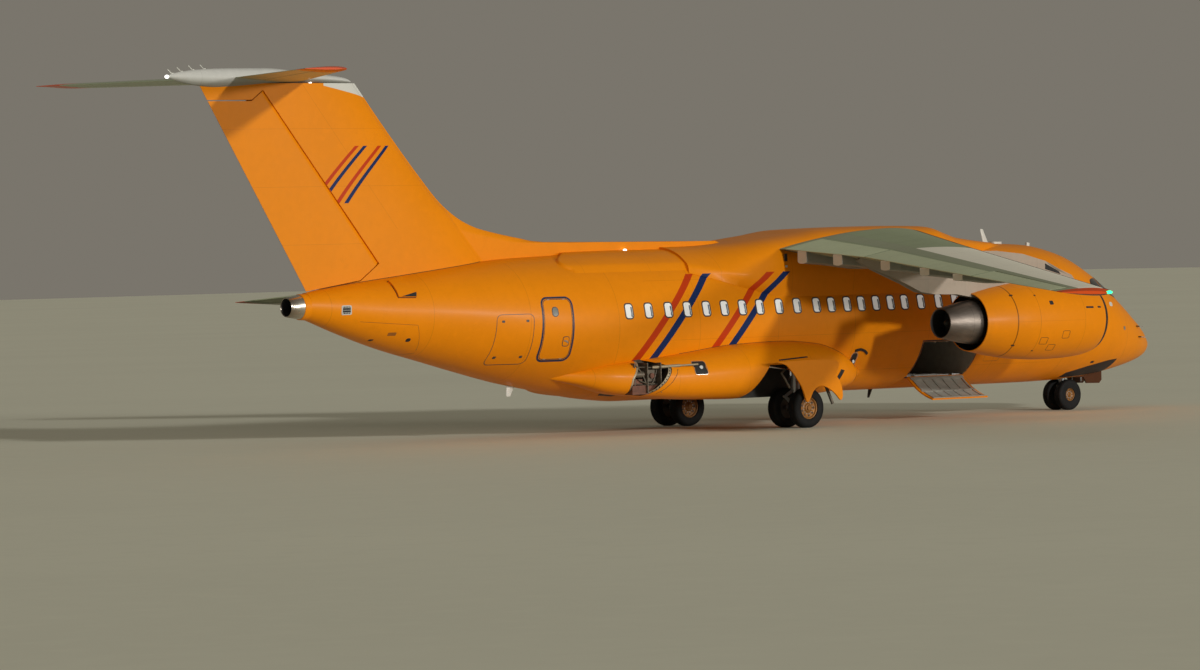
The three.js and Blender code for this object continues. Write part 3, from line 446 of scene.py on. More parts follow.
def new_object(name, shape, materials):
    mesh = bpy.data.meshes.new(name)
    mesh.from_pydata(shape.points, [], shape.faces)
    mesh.polygons.foreach_set("material_index", shape.kinds)
    for material in materials:
        mesh.materials.append(material)
    work = bmesh.new()
    work.from_mesh(mesh)
    bmesh.ops.remove_doubles(work, verts=work.verts, dist=2e-5)
    bmesh.ops.dissolve_degenerate(work, edges=work.edges, dist=1e-6)
    bmesh.ops.recalc_face_normals(work, faces=work.faces)
    work.to_mesh(mesh)
    work.free()
    thing = bpy.data.objects.new(name, mesh)
    bpy.context.scene.collection.objects.link(thing)
    return thing


def shade(thing, sharp):
    thing.data.polygons.foreach_set("use_smooth", [True] * len(thing.data.polygons))
    thing.data.set_sharp_from_angle(angle=math.radians(sharp))


def piece(name, shape, materials, body="airframe", replaces=(), sharp=32, cuts=()):
    """A finished piece of the aircraft, cut where it has openings, that rides on its body."""
    thing = new_object(name, shape, materials)
    for operation, cutter in cuts:
        modifier = thing.modifiers.new("cut", "BOOLEAN")
        modifier.operation = operation
        modifier.solver = "EXACT"
        modifier.material_mode = "TRANSFER"
        modifier.object = cutter
    if cuts:
        bpy.context.view_layer.update()
        graph = bpy.context.evaluated_depsgraph_get()
        whole = bpy.data.meshes.new_from_object(thing.evaluated_get(graph))
        thing.modifiers.clear()
        thing.data = whole
    shade(thing, sharp)
    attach(thing, body)
    if replaces:
        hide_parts(*replaces)


def cutter(name, shape, material):
    return new_object(name, shape, [material])


def discard(*things):
    for thing in things:
        bpy.data.objects.remove(thing)


# Fuselage skin

# Aft, crown height, keel height, half width, height of the widest line
FUSELAGE_TABLE = [
    (0, 1.54, 1.50, 0.02, 1.52), (0.1, 1.70, 1.33, 0.15, 1.52), (0.4, 1.965, 1.18, 0.39, 1.565),
    (0.9, 2.31, 1.05, 0.72, 1.64), (1.5, 2.74, 0.93, 1.005, 1.79), (2.0, 3.085, 0.85, 1.21, 1.92),
    (2.6, 3.465, 0.78, 1.38, 2.06), (3.4, 3.835, 0.74, 1.53, 2.22), (4.4, 4.03, 0.722, 1.64, 2.35),
    (5.6, 4.069, 0.719, 1.675, 2.394), (17.0, 4.069, 0.719, 1.675, 2.394), (18.0, 4.06, 0.8, 1.665, 2.43),
    (19.2, 4.03, 1.01, 1.6, 2.52), (20.3, 3.99, 1.22, 1.48, 2.62), (21.4, 3.9, 1.49, 1.3, 2.72),
    (22.5, 3.79, 1.78, 1.09, 2.81), (23.6, 3.66, 2.07, 0.85, 2.88), (24.7, 3.52, 2.43, 0.6, 2.97),
    (25.65, 3.36, 2.78, 0.29, 3.06),
]
SKIN_CURVES = [
    smooth_curve([math.sqrt(row[0]) for row in FUSELAGE_TABLE], [row[k] for row in FUSELAGE_TABLE])
    for k in range(1, 5)
]


def skin_section(back):
    return [curve(math.sqrt(max(0.0, back))) for curve in SKIN_CURVES]


def skin_at(back, angle, lift=0.0):
    """A point of the skin. The angle is 0 to port, a quarter turn at the crown."""
    top, bottom, half, waist = skin_section(back)
    c, s = math.cos(angle), math.sin(angle)
    point = Vector((aft(back), half * c, waist + (top - waist if s > 0 else waist - bottom) * s))
    if not lift:
        return point
    ahead = skin_at(back - 0.02, angle) - skin_at(back + 0.02, angle)
    around = skin_at(back, angle + 0.01) - skin_at(back, angle - 0.01)
    return point + around.cross(ahead).normalized() * lift


def skin_angle(back, z, side):
    """The angle at which the skin has a height, on one side."""
    top, bottom, half, waist = skin_section(back)
    share = (z - waist) / (top - waist if z > waist else waist - bottom)
    angle = math.asin(max(-1.0, min(1.0, share)))
    return angle if side > 0 else math.pi - angle


def on_side(side, lift):
    """A map from (aft, z) to the skin on one side."""
    return lambda back, z, more=0.0: skin_at(back, skin_angle(back, z, side), lift + more)


def on_keel(lift):
    """A map from (aft, angle) to the skin."""
    return lambda back, angle, more=0.0: skin_at(back, angle, lift + more)


def ways_along(path, closed=True):
    """The direction of a path at each of its points."""
    count = len(path)
    ways = []
    for i in range(count):
        before = path[i - 1] if closed or i else path[0]
        after = path[(i + 1) % count] if closed or i + 1 < count else path[i]
        ways.append(Vector((after[0] - before[0], after[1] - before[1])).normalized())
    return ways


def strip(shape, path, width, surface, kind=0, closed=False, depth=0.006):
    """A ribbon of an even width along a path on a surface, from (aft, z) points."""
    top, bottom = [], []
    for (a, b), way in zip(path, ways_along(path, closed)):
        places = [(a - way.y * width * share, b + way.x * width * share) for share in (-0.5, 0.5)]
        top.append([surface(*place) for place in places])
        bottom.append([surface(*place, -depth) for place in places])
    if closed:
        rings = [[*row, *reversed(under)] for row, under in zip(top, bottom)]
        return shape.loft(rings, kind, loop=True)
    return shape.slab(top, bottom, kind)


def middle_of(outline):
    count = len(outline)
    return sum(p[0] for p in outline) / count, sum(p[1] for p in outline) / count


def shrunk(outline, share):
    """An outline drawn in towards its middle, or out from it with a share above 1."""
    middle = middle_of(outline)
    return [(middle[0] + (a - middle[0]) * share, middle[1] + (b - middle[1]) * share) for a, b in outline]


def patch(shape, outline, surface, kind=0, depth=0.006, rings=3):
    """A filled outline on a surface, closed underneath, from points around its middle."""
    count = len(outline)
    middle = middle_of(outline)
    places = [shrunk(outline, r / rings) for r in range(1, rings + 1)]
    points, faces = [], []
    for more in (0.0, -depth):
        base = len(points)
        points.append(surface(*middle, more))
        for ring in places:
            points.extend(surface(*place, more) for place in ring)
        for i in range(count):
            j = (i + 1) % count
            first = [(base, base + 1 + i, base + 1 + j)]
            for r in range(rings - 1):
                a = base + 1 + r * count
                first.append((a + i, a + count + i, a + count + j, a + j))
            faces.extend(first if more == 0.0 else [tuple(reversed(face)) for face in first])
    outer = 1 + (rings - 1) * count
    under = outer + 1 + rings * count
    for i in range(count):
        j = (i + 1) % count
        faces.append((outer + i, under + i, under + j, outer + j))
    return shape.add(points, faces, kind)


def rounded(back, z, width, height, corner, steps=5):
    """A rounded rectangle around a middle point."""
    points = []
    for quarter, (sx, sz) in enumerate(((1, 1), (-1, 1), (-1, -1), (1, -1))):
        middle = (back + sx * (width / 2 - corner), z + sz * (height / 2 - corner))
        for i in range(steps + 1):
            a = math.pi / 2 * (quarter + i / steps)
            points.append((middle[0] + corner * math.cos(a), middle[1] + corner * math.sin(a)))
    return points


def densely(points, most, closed=True):
    """The same outline with points added, so that none are further apart than a distance."""
    result = []
    ends = list(zip(points, points[1:] + points[:1])) if closed else list(zip(points, points[1:]))
    for (a, b), (c, d) in ends:
        steps = max(1, math.ceil(math.hypot(c - a, d - b) / most))
        result.extend((a + (c - a) * i / steps, b + (d - b) * i / steps) for i in range(steps))
    return result if closed else result + [points[-1]]


def outlined(shape, outline, width, surface, kind=0, depth=0.006):
    """A closed ribbon along an outline on a surface."""
    strip(shape, densely(outline, 0.12), width, surface, kind, closed=True, depth=depth)


# Materials of the aircraft

FAIRING_SEAMS = (1.9, 0.008, 0.3, 0.4)
orange = fuselage_paint()
crown_shader = livery(painted("crown_fairing_paint"), *BODY_LIVERY)
crown_paint = finish_paint(crown_shader, cross_seams(crown_shader.back, *FAIRING_SEAMS))
fairing_shader = painted("gear_fairing_paint")
fairing_paint = finish_paint(fairing_shader, cross_seams(fairing_shader.back, *FAIRING_SEAMS))
door_paint = finish_paint(painted("door_paint"))
lining = plain_finish("hold_lining", (0.34, 0.33, 0.30), 0.6)
bay_metal = plain_finish("bay_metal", (0.19, 0.17, 0.13), 0.55, 0.3, 5.0, 0.3)
# Near black: the colour of black parts, and painted shade in openings, recesses and holes that are drawn as
# flat patches
dark = plain_finish("black_and_painted_hole_shade", (0.012, 0.012, 0.013), 0.7)
rubber_seal = plain_finish("seal", (0.02, 0.021, 0.024), 0.6)
outline_blue = plain_finish("outline_blue", (0.012, 0.02, 0.06), 0.45)
steel = plain_finish("gear_metal", (0.42, 0.43, 0.44), 0.35, 0.8, 14.0, 0.15)
chrome = plain_finish("polished_strut", (0.75, 0.76, 0.77), 0.14, 1.0, 30.0, 0.03)
bare_metal = plain_finish("bare_metal", (0.55, 0.54, 0.52), 0.3, 0.9, 10.0, 0.12)

# Fuselage

SKIN_STATIONS = [t * t for t in spread(0.0, math.sqrt(5.6), 46)]
SKIN_STATIONS += spread(5.6, 17.0, 36)[1:] + spread(17.0, FUSELAGE_END, 44)[1:]
SKIN_POINTS = 128


def skin_ring(back):
    top, bottom, half, waist = skin_section(back)
    ring = []
    for a in around(SKIN_POINTS):
        c, s = math.cos(a), math.sin(a)
        ring.append((aft(back), half * c, waist + (top - waist if s > 0 else waist - bottom) * s))
    return ring


skin = Shape().loft([skin_ring(back) for back in SKIN_STATIONS])
hold_box = Shape().box((aft(HOLD_REAR), -2.0, HOLD_FLOOR), (aft(HOLD_FRONT), HOLD_INNER_Y, HOLD_TOP))
hold_cutter = cutter("hold_cutter", hold_box, lining)
bay_cutter = cutter("bay_cutter", Shape().box((aft(3.2), -0.3, 0.3), (aft(1.8), 0.3, 1.4)), bay_metal)
piece("fuselage_skin", skin, [orange], cuts=[("DIFFERENCE", hold_cutter), ("DIFFERENCE", bay_cutter)],
      replaces=("nose_section", "forward_fuselage", "centre_fuselage", "rear_fuselage"))
discard(hold_cutter, bay_cutter)

# Tail exhaust: a bright ring, a dark pipe and a rim

exhaust_metal = Shader("exhaust_metal", (0.62, 0.58, 0.50), rough=0.25, metal=1.0)
exhaust_metal.vary(5.0, 0.15, stretch=(0.2, 3, 3))
exhaust_metal.tint(exhaust_metal.back.above(26.0, 0.12) * 0.6, (0.20, 0.15, 0.11))
exhaust_metal.roughness(exhaust_metal.noise(8.0, 4.0) * 0.2 + 0.16)
exhaust_metal = exhaust_metal.done()
PIPE_OUTSIDE = [
    (0.0003, 0.0), (0.0003, 0.284), (0.15, 0.272), (0.17, 0.262), (0.42, 0.222), (0.48, 0.212),
    (0.495, 0.204), (0.49, 0.194), (0.47, 0.187),
]
PIPE_INSIDE = [(0.47, 0.187), (0.06, 0.187), (0.06, 0.0)]
tail_pipe = Shape()
for kind, profile in enumerate((PIPE_OUTSIDE, PIPE_INSIDE)):
    tail_pipe.turned([(aft(FUSELAGE_END + d), r) for d, r in profile], (0, 0, EXHAUST_Z), kind=kind)
piece("exhaust_ring", tail_pipe, [exhaust_metal, dark], replaces=("tail_exhaust",))

# Fairing over the crown, and its rear lobe

# Aft, crown height, half width, height of the side's lower edge, and the turn into the skin's own shape
CROWN_TABLE = [
    (5.3, 4.08, 0.42, 3.9, 0), (6.2, 4.16, 0.76, 3.6, 0), (7.1, 4.265, 1.12, 3.4, 0),
    (7.7, 4.4, 1.43, 3.1, 0), (8.3, 4.525, 1.6497, 2.98, 0), (9.5, 4.545, 1.6497, 2.97, 0),
    (11.5, 4.51, 1.6497, 2.97, 0), (12.4, 4.40, 1.6497, 2.97, 0), (13.3, 4.31, 1.6497, 2.98, 0.05),
    (14.2, 4.23, 1.56, 3.16, 0.4), (15.0, 4.19, 1.38, 3.36, 0.85), (15.66, 4.15, 1.15, 3.5, 1),
]
CROWN_SQUARENESS = 0.4
# How far above its lower edge the fairing has left the skin
CROWN_FLARE = 0.3


def crown_ring(row, steps=56):
    back, top, half, side, turned = row
    start = skin_angle(back, side, 1)
    ring = []
    for i in range(steps + 1):
        turn = math.pi * i / steps
        across = math.copysign(abs(math.cos(turn)) ** CROWN_SQUARENESS, math.cos(turn))
        square = Vector((aft(back), half * across, side + (top - side) * math.sin(turn) ** CROWN_SQUARENESS))
        close = skin_at(back, start + (math.pi - 2 * start) * i / steps, 0.10)
        point = square.lerp(close, turned)
        rise = max(0.0, min(1.0, (point.z - side) / CROWN_FLARE))
        near = abs(skin_at(back, skin_angle(back, point.z, 1)).y) + 0.002
        if abs(point.y) > near:
            flare = rise * rise * (3 - 2 * rise)
            point.y = math.copysign(near + (abs(point.y) - near) * flare, point.y)
        ring.append((point.x - 0.15 * max(0.0, 4.08 - point.z) * turned ** 2, point.y, point.z))
    return ring + [(aft(back), -half * 0.8, side - 0.12), (aft(back), half * 0.8, side - 0.12)]


LOBE_END, LOBE_LIFT = 19.2, 0.055


def lobe_lift(back, z):
    """How far the rear lobe stands off the skin: full on top, fading out below, with a blunt rear end."""
    bulge, cut = ((z - 3.85) / 0.2, 0.6) if z > 3.85 else ((3.85 - z) / 0.12, 0.13)
    end = LOBE_END - cut * min(1.5, bulge ** 2)
    full = max(0.0, min(1.0, (end - back) / 0.05)) * max(0.0, min(1.0, (z - 3.6) / 0.16))
    return -0.015 + (LOBE_LIFT + 0.015) * full


crown = Shape().loft([crown_ring(row) for row in table_rows(CROWN_TABLE, 100)])
lobe_top, lobe_under = [], []
for back in spread(15.3, 18.5, 24)[:-1] + spread(18.5, 19.26, 38):
    low_angle = skin_angle(back, 3.56, 1)
    angles = [low_angle + (math.pi - 2 * low_angle) * i / 60 for i in range(61)]
    lobe_top.append([skin_at(back, a, lobe_lift(back, skin_at(back, a).z)) for a in angles])
    lobe_under.append([skin_at(back, a, -0.06) for a in angles])
crown.slab(lobe_top, lobe_under)
piece("wing_centre_fairing", crown, [crown_paint], replaces=("wing_fairing",), sharp=50)

# Wing

# Y, front and rear aft of the nose, their heights, thickness above and below the line between them
KINK_Y, WING_ROOT_Y, WING_INNER_Y = 4.52, 1.65, 1.1
# How far aft the wing's front is at the middle and how much further per metre of span
SWEEP_START, SWEEP = 7.67, 0.54


def leading_edge(y):
    return SWEEP_START + SWEEP * y


WING_TABLE = [
    (WING_INNER_Y, leading_edge(WING_INNER_Y), 13.235, 4.08, 4.06, 0.39, 0.44),
    (WING_ROOT_Y, leading_edge(WING_ROOT_Y), 13.26, 4.08, 4.06, 0.41, 0.43),
    (KINK_Y, leading_edge(KINK_Y), 13.39, 3.86, 3.84, 0.27, 0.30),
    (14.15, leading_edge(14.15), 16.908, 3.02, 3.075, 0.095, 0.08),
    (HALF_SPAN, 15.7, 17.02, 3.01, 3.05, 0.035, 0.03),
]
TAIL_Z = 8.0
TAIL_TABLE = [
    (0.0, 25.4, 27.4, TAIL_Z, TAIL_Z, 0.095, 0.095), (4.78, 27.96, 29.08, TAIL_Z, TAIL_Z, 0.052, 0.052),
    (4.92, 28.18, 29.13, TAIL_Z, TAIL_Z, 0.02, 0.02),
]
EDGE_HALF = 0.005


def section_shape(f):
    shape = 0.2969 * math.sqrt(f) - 0.126 * f - 0.3516 * f ** 2 + 0.2843 * f ** 3 - 0.1036 * f ** 4
    return max(0.0, shape) / 0.1


def wing_heights(row, f):
    line = row[3] + (row[4] - row[3]) * f
    return line + row[5] * section_shape(f) + EDGE_HALF * f, line - row[6] * section_shape(f) - EDGE_HALF * f


def chord_steps(start, end, count):
    """Places along a chord, closer together where they begin."""
    return [start + (end - start) * (1 - math.cos(math.pi / 2 * i / count)) for i in range(count + 1)]


LIP_SINE = math.sin(math.radians(27))


def cove_arc(row, line):
    """How far ahead of the hinge line the wing's lips end, and the hollow's points between them."""
    front, rear = row[1], row[2]
    high, low = wing_heights(row, line)
    middle, radius = (high + low) / 2, (high - low) / 2
    lip = radius * LIP_SINE + 0.01
    hollow = radius + 0.005
    start = math.asin(lip / hollow)
    hinge = front + (rear - front) * line
    angles = [start + (math.pi - 2 * start) * i / 12 for i in range(13)]
    arc = [(hinge - hollow * math.sin(a), middle + hollow * math.cos(a)) for a in angles]
    return line - lip / (rear - front), arc


def coved_ring(row, line, side):
    """One ring of a wing that ends in a hollow for the control surface behind it."""
    y, front, rear = row[0], row[1], row[2]
    end, hollow = cove_arc(row, line)
    back = [front + (rear - front) * f for f in chord_steps(0.0, end, 22)]
    heights = [wing_heights(row, (b - front) / (rear - front)) for b in back]
    ring = [(aft(b), side * y, h[0]) for b, h in zip(back, heights)]
    ring += [(aft(b), side * y, z) for b, z in hollow]
    return ring + [(aft(b), side * y, h[1]) for b, h in reversed(list(zip(back, heights)))]


def section_ring(row, start, end, side, nose=0.0):
    """One ring of a wing between two parts of its chord. With a nose, the front end is a half circle."""
    y, front, rear = row[0], row[1], row[2]
    back = [front + (rear - front) * f for f in chord_steps(start, end, 22)]
    heights = [wing_heights(row, (b - front) / (rear - front)) for b in back]
    upper = [(aft(b), side * y, h[0]) for b, h in zip(back, heights)]
    lower = [(aft(b), side * y, h[1]) for b, h in zip(back, heights)]
    ring = upper + list(reversed(lower))
    if nose:
        middle, radius = (heights[0][0] + heights[0][1]) / 2, (heights[0][0] - heights[0][1]) / 2
        for i in range(1, 12):
            a = -math.pi / 2 + math.pi * i / 12
            ring.append((aft(back[0]) + radius * nose * math.cos(a), side * y, middle + radius * math.sin(a)))
    return ring


def span_rows(table, start, end, pitch=0.35):
    """Rows between two places along the span, with the table's own rows kept."""
    places = {start, end, *[row[0] for row in table if start < row[0] < end]}
    places.update(spread(start, end, max(1, round((end - start) / pitch))))
    ordered = sorted(places)
    kept = [ordered[0]] + [b for a, b in zip(ordered, ordered[1:]) if b - a > 1e-4]
    return [row_between(table, y) for y in kept]


def wing_part(shape, table, span, chord, side, kind=0, nose=0.0):
    return shape.loft([section_ring(row, *chord, side, nose) for row in span_rows(table, *span)], kind)


def coved_part(shape, table, span, line, side):
    return shape.loft([coved_ring(row, line, side) for row in span_rows(table, *span)])


FLAP_LINE, AILERON_LINE = 0.76, 0.72
FLAP_SPANS = [(1.72, 4.48), (4.56, 10.05)]
AILERON_SPAN = (10.15, 13.9)
# The part of the span that ends in the aileron's hollow, and the ribs between the flaps
HOLLOW_SPAN = (10.12, 13.93)
FIXED_SPANS = [(WING_INNER_Y, 1.714), (4.486, 4.554), (10.056, 10.12)]
FLAP_SLIT = 0.0022


def wing_seams(s):
    """Slat line, spar lines and rib lines of the wing's skin."""
    reach = s.y.size()
    chord_front = reach * SWEEP + SWEEP_START
    straight = (reach - KINK_Y).math("MAXIMUM", 0.0)
    rear = (reach - WING_ROOT_Y).math("MINIMUM", KINK_Y - WING_ROOT_Y) * 0.0453 + 13.26 + straight * 0.3653
    chord = rear - chord_front
    along = (s.back - chord_front).math("DIVIDE", chord)
    seams = along.line(0.6, 0.002) * 0.6 + along.line(0.42, 0.002) * 0.3 + along.line(0.735, 0.003)
    ribs = s.y.size().lines(1.42, 0.009, 0.4)
    pale = (s.back * 0.8 + reach).above(14.83, 0.01) * along.below(0.6, 0.003)
    s.tint(pale, (0.93, 0.90, 0.76))
    s.tint(along.above(0.6, 0.003) * along.below(0.735, 0.003) * 0.35, (0.33, 0.32, 0.25))
    s.tint(along.below(0.15, 0.003), (0.03, 0.03, 0.028))
    s.tint(reach.above(14.2, 0.01), ORANGE_RED)
    return (seams + ribs * 0.55).clamped()


wing_grey = grey_paint("wing_paint", wing_seams)
flap_grey = grey_paint("flap_paint", lambda s: cross_seams(s.y.size(), 1.86, 0.009, 0.2, 0.5),
                       (0.56, 0.62, 0.41))
# Painted light: the track fairings' blunt rear faces are painted pale as if lit, and their sides dark as if
# in shade
track_lit_end_shader = Shader("track_fairing_painted_light", (0.25, 0.24, 0.20), rough=0.5, specular=0.12)
track_lit_end_shader.vary(5.0, 0.08)
track_lit_end_shader.tint(track_lit_end_shader.facing(0).below(-0.6, 0.2), (0.66, 0.62, 0.52))
track_painted_light = track_lit_end_shader.done()

# Y, and how deep the blunt rear end hangs below the wing's edge
TRACK_FAIRINGS = [(2.3, 0.29), (3.56, 0.25), (5.62, 0.215), (7.7, 0.175), (9.4, 0.15)]
TRACK_HALF = 0.15


def track_fairing(shape, y, deep, side):
    """A canoe under the wing's rear half, with a blunt end at the trailing edge."""
    row = row_between(WING_TABLE, y)
    front, rear = row[1], row[2]
    under = [wing_heights(row, f)[1] for f in (0.34, 0.44, 0.62, 0.86, 1.0)]
    low = [(0.34, under[0] + 0.06), (0.44, under[1] - 0.3 * deep), (0.62, under[2] - 0.55 * deep),
           (0.86, under[4] - 1.15 * deep), (1.0, under[4] - deep)]
    keel = smooth_curve([p[0] for p in low], [p[1] for p in low])
    rings = []
    for f in spread(0.34, 1.0, 26):
        x = aft(front + (rear - front) * f)
        top = wing_heights(row, f)[1] + (0.03 if f < 0.97 else 0.004)
        bottom = min(keel(f), top - 0.004)
        half = TRACK_HALF * min(1.0, 0.2 + 2.6 * (f - 0.34))
        round_off = min(half, (top - bottom) / 2) * 0.35
        under_edge = [(x, side * y + half * math.cos(a), bottom + round_off * (1 - math.sin(a)))
                      for a in spread(0.0, math.pi, 8)]
        rings.append([(x, side * y + half, top), *under_edge, (x, side * y - half, top)])
    shape.loft(rings)


for tag, side in SIDES:
    wing = Shape()
    wing_part(wing, WING_TABLE, (WING_INNER_Y, HOLLOW_SPAN[0]), (0.0, FLAP_LINE - FLAP_SLIT), side)
    coved_part(wing, WING_TABLE, HOLLOW_SPAN, AILERON_LINE, side)
    wing_part(wing, WING_TABLE, (HOLLOW_SPAN[1], HALF_SPAN), (0.0, 1.0), side)
    for span in FIXED_SPANS:
        wing_part(wing, WING_TABLE, span, (FLAP_LINE - FLAP_SLIT, 1.0), side)
    piece(f"wing_skin_{tag}", wing, [wing_grey], replaces=(f"wing_{tag}",))
    for name, span in zip(("inner_flap", "outer_flap"), FLAP_SPANS):
        flap = wing_part(Shape(), WING_TABLE, span, (FLAP_LINE, 1.0), side)
        piece(f"{name}_skin_{tag}", flap, [flap_grey], replaces=(f"{name}_{tag}",))
    fairings = Shape()
    for y, deep in TRACK_FAIRINGS:
        track_fairing(fairings, y, deep, side)
    piece(f"track_fairings_{tag}", fairings, [track_painted_light], sharp=40)
    aileron = wing_part(Shape(), WING_TABLE, AILERON_SPAN, (AILERON_LINE, 1.0), side, nose=0.985)
    piece(f"aileron_skin_{tag}", aileron, [flap_grey], body=f"aileron_{tag}",
          replaces=(f"aileron_{tag}",))

# Engines

COWL_OUTSIDE = [
    (6.1, 0.705), (6.12, 0.75), (6.22, 0.795), (6.52, 0.86), (7.1, 0.905), (7.7, 0.915), (8.5, 0.878),
    (9.2, 0.792), (9.87, 0.668),
]
COWL_INSIDE = [(9.87, 0.648), (9.2, 0.705), (8.3, 0.722), (7.0, 0.70), (6.45, 0.662), (6.18, 0.668)]
CORE_FRONT = [
    (FAN_AFT - 0.04, 0), (FAN_AFT - 0.04, 0.078), (7.42, 0.078), (7.42, 0.33), (7.8, 0.45), (9.3, 0.53),
    (9.6, 0.52),
]
FAN_BLADES = 20


def smooth_profile(points, steps):
    """A profile with more points, on a smooth line through the given ones by their distance."""
    travel = [0.0]
    for a, b in zip(points, points[1:]):
        travel.append(travel[-1] + math.hypot(b[0] - a[0], b[1] - a[1]))
    first = smooth_curve(travel, [p[0] for p in points])
    second = smooth_curve(travel, [p[1] for p in points])
    return [(first(t), second(t)) for t in spread(0.0, travel[-1], steps)]


def engine_paint():
    s = painted("engine_paint")
    # Seams of the intake, the doors and the rear cowl
    seams = s.back.line(6.99, 0.008) * 0.6 + s.back.line(8.40, 0.010) * 0.8
    s.tint(s.back.line(9.05, 0.022), (0.05, 0.018, 0.003))
    # Painted shade: the intake's front lip is near black, as an unlit metal lip looks
    s.tint(s.back.below(6.235, 0.006), (0.025, 0.022, 0.02))
    level = s.z.line(ENGINE_Z - 0.02, 0.006) * s.back.above(6.99, 0.004) * s.back.below(9.05, 0.004) * 0.35
    soot = s.noise(3.0, 5.0, stretch=(0.4, 1, 1))
    s.tint((s.back.above(9.3, 0.8) * ((soot - 0.4) * 2.0).clamped()) * 0.35, (0.24, 0.10, 0.02))
    return finish_paint(s, (seams + level).clamped())


def nozzle_metal():
    s = Shader("nozzle_metal", (0.24, 0.205, 0.18), rough=0.34, metal=1.0)
    s.vary(2.6, 0.25, detail=5.0, stretch=(0.25, 2.5, 2.5))
    s.tint(((s.noise(30.0, 2.0, stretch=(0.04, 1, 1)) - 0.45) * 2.0).clamped() * 0.35, (0.42, 0.38, 0.34))
    s.tint(s.back.above(10.5, 0.2) * 0.5, (0.13, 0.10, 0.085))
    s.tint(s.back.line(10.1, 0.006) * 0.6, (0.06, 0.05, 0.05))
    s.roughness(s.noise(12.0, 4.0, stretch=(0.2, 1, 1)) * 0.22 + 0.36)
    s.bump(s.noise(40.0, 2.0, stretch=(0.03, 1, 1)), 0.0008, coat=False)
    return s.done()


cowl_paint = engine_paint()
nozzle = nozzle_metal()
duct_dark = plain_finish("duct_lining", (0.035, 0.034, 0.034), 0.55, 0.3)
duct_pale = plain_finish("intake_lining", (0.42, 0.42, 0.40), 0.45, 0.2)
blade_metal = plain_finish("fan_blade_metal", (0.30, 0.31, 0.33), 0.28, 0.9, 6.0, 0.12)
spinner_grey = plain_finish("spinner_paint", (0.06, 0.062, 0.066), 0.35, 0.1, 6.0, 0.1, coat=0.3)

PYLON_OUTLINE = [
    (6.54, 2.9), (6.54, 3.2), (6.6, 3.257), (7.033, 3.397), (7.5, 3.592), (8.216, 3.768),
    (9.048, 3.852), (12.6, 3.9), (13.1, 3.83), (13.22, 3.78), (12.8, 3.6), (12.39, 3.452),
    (11.87, 3.265), (11.4, 3.06), (11.0, 3.003), (10.3, 2.985), (9.9, 2.92), (9.3, 2.8),
]
PYLON_HALF = 0.12


# Share of the pylon's half width, and how far its edge is drawn in there
PYLON_EDGE = [(-1.0, 0.05), (-0.92, 0.018), (-0.75, 0.0), (0.75, 0.0), (0.92, 0.018), (1.0, 0.05)]


def pylon_front(back):
    """How the pylon's front narrows."""
    return min(1.0, 0.3 + (back - PYLON_OUTLINE[0][0]) / 0.9)


def pylon_shape(y):
    """A plate with rounded edges and a narrow front and rear."""
    outline = densely(PYLON_OUTLINE, 0.3)
    rings = []
    for share, inset in PYLON_EDGE:
        ring = []
        for (back, z), way in zip(outline, ways_along(outline)):
            thin = min(pylon_front(back), 0.22 + (13.3 - back) / 1.6)
            ring.append((aft(back - way.y * inset), y + PYLON_HALF * share * thin, z + way.x * inset))
        rings.append(ring)
    return Shape().loft(rings)


def pylon_seams(s):
    return ((s.back.lines(1.15, 0.007, 0.3) + s.z.line(3.3, 0.006)) * 0.5).clamped()


pylon_paint = grey_paint("pylon_paint", pylon_seams, (0.42, 0.345, 0.28))

# The core's lip around its opening, the opening and the cone inside, and the fan's spinner and its rear
CORE_REAR, CORE_RADIUS = 10.725, 0.345
CORE_LIP = [(CORE_REAR, CORE_RADIUS), (10.735, 0.332), (CORE_REAR, 0.318)]
CORE_OPENING = [(CORE_REAR, 0.318), (10.26, 0.372), (10.26, 0.17)]
CORE_CONE = [(10.26, 0.17), (10.45, 0.115), (10.6, 0.04), (10.62, 0.0)]
SPINNER = [(6.76, 0.0), (6.775, 0.04), (6.86, 0.11), (7.02, 0.19), (7.33, 0.245)]
SPINNER_REAR = [(7.33, 0.245), (7.33, 0.0788), (7.13, 0.0788), (7.13, 0.0)]
GUIDE_VANES = 8


def fan_blade(turn, centre):
    """The rings of one twisted blade, turned about the fan's axis."""
    rings = []
    for radius in spread(0.2, FAN_RADIUS - 0.004, 8):
        pitch = 0.35 + 0.6 * (radius - 0.2) / (FAN_RADIUS - 0.2)
        c, s = math.cos(pitch), math.sin(pitch)
        ring = []
        for a in around(14):
            along, thick = 0.094 * math.cos(a), 0.0055 * math.sin(a) + 0.006 * math.cos(a) ** 2
            point = Vector((aft(FAN_AFT + 0.035) + along * c - thick * s, along * s + thick * c, radius))
            ring.append(turn @ point + Vector(centre))
        rings.append(ring)
    return rings


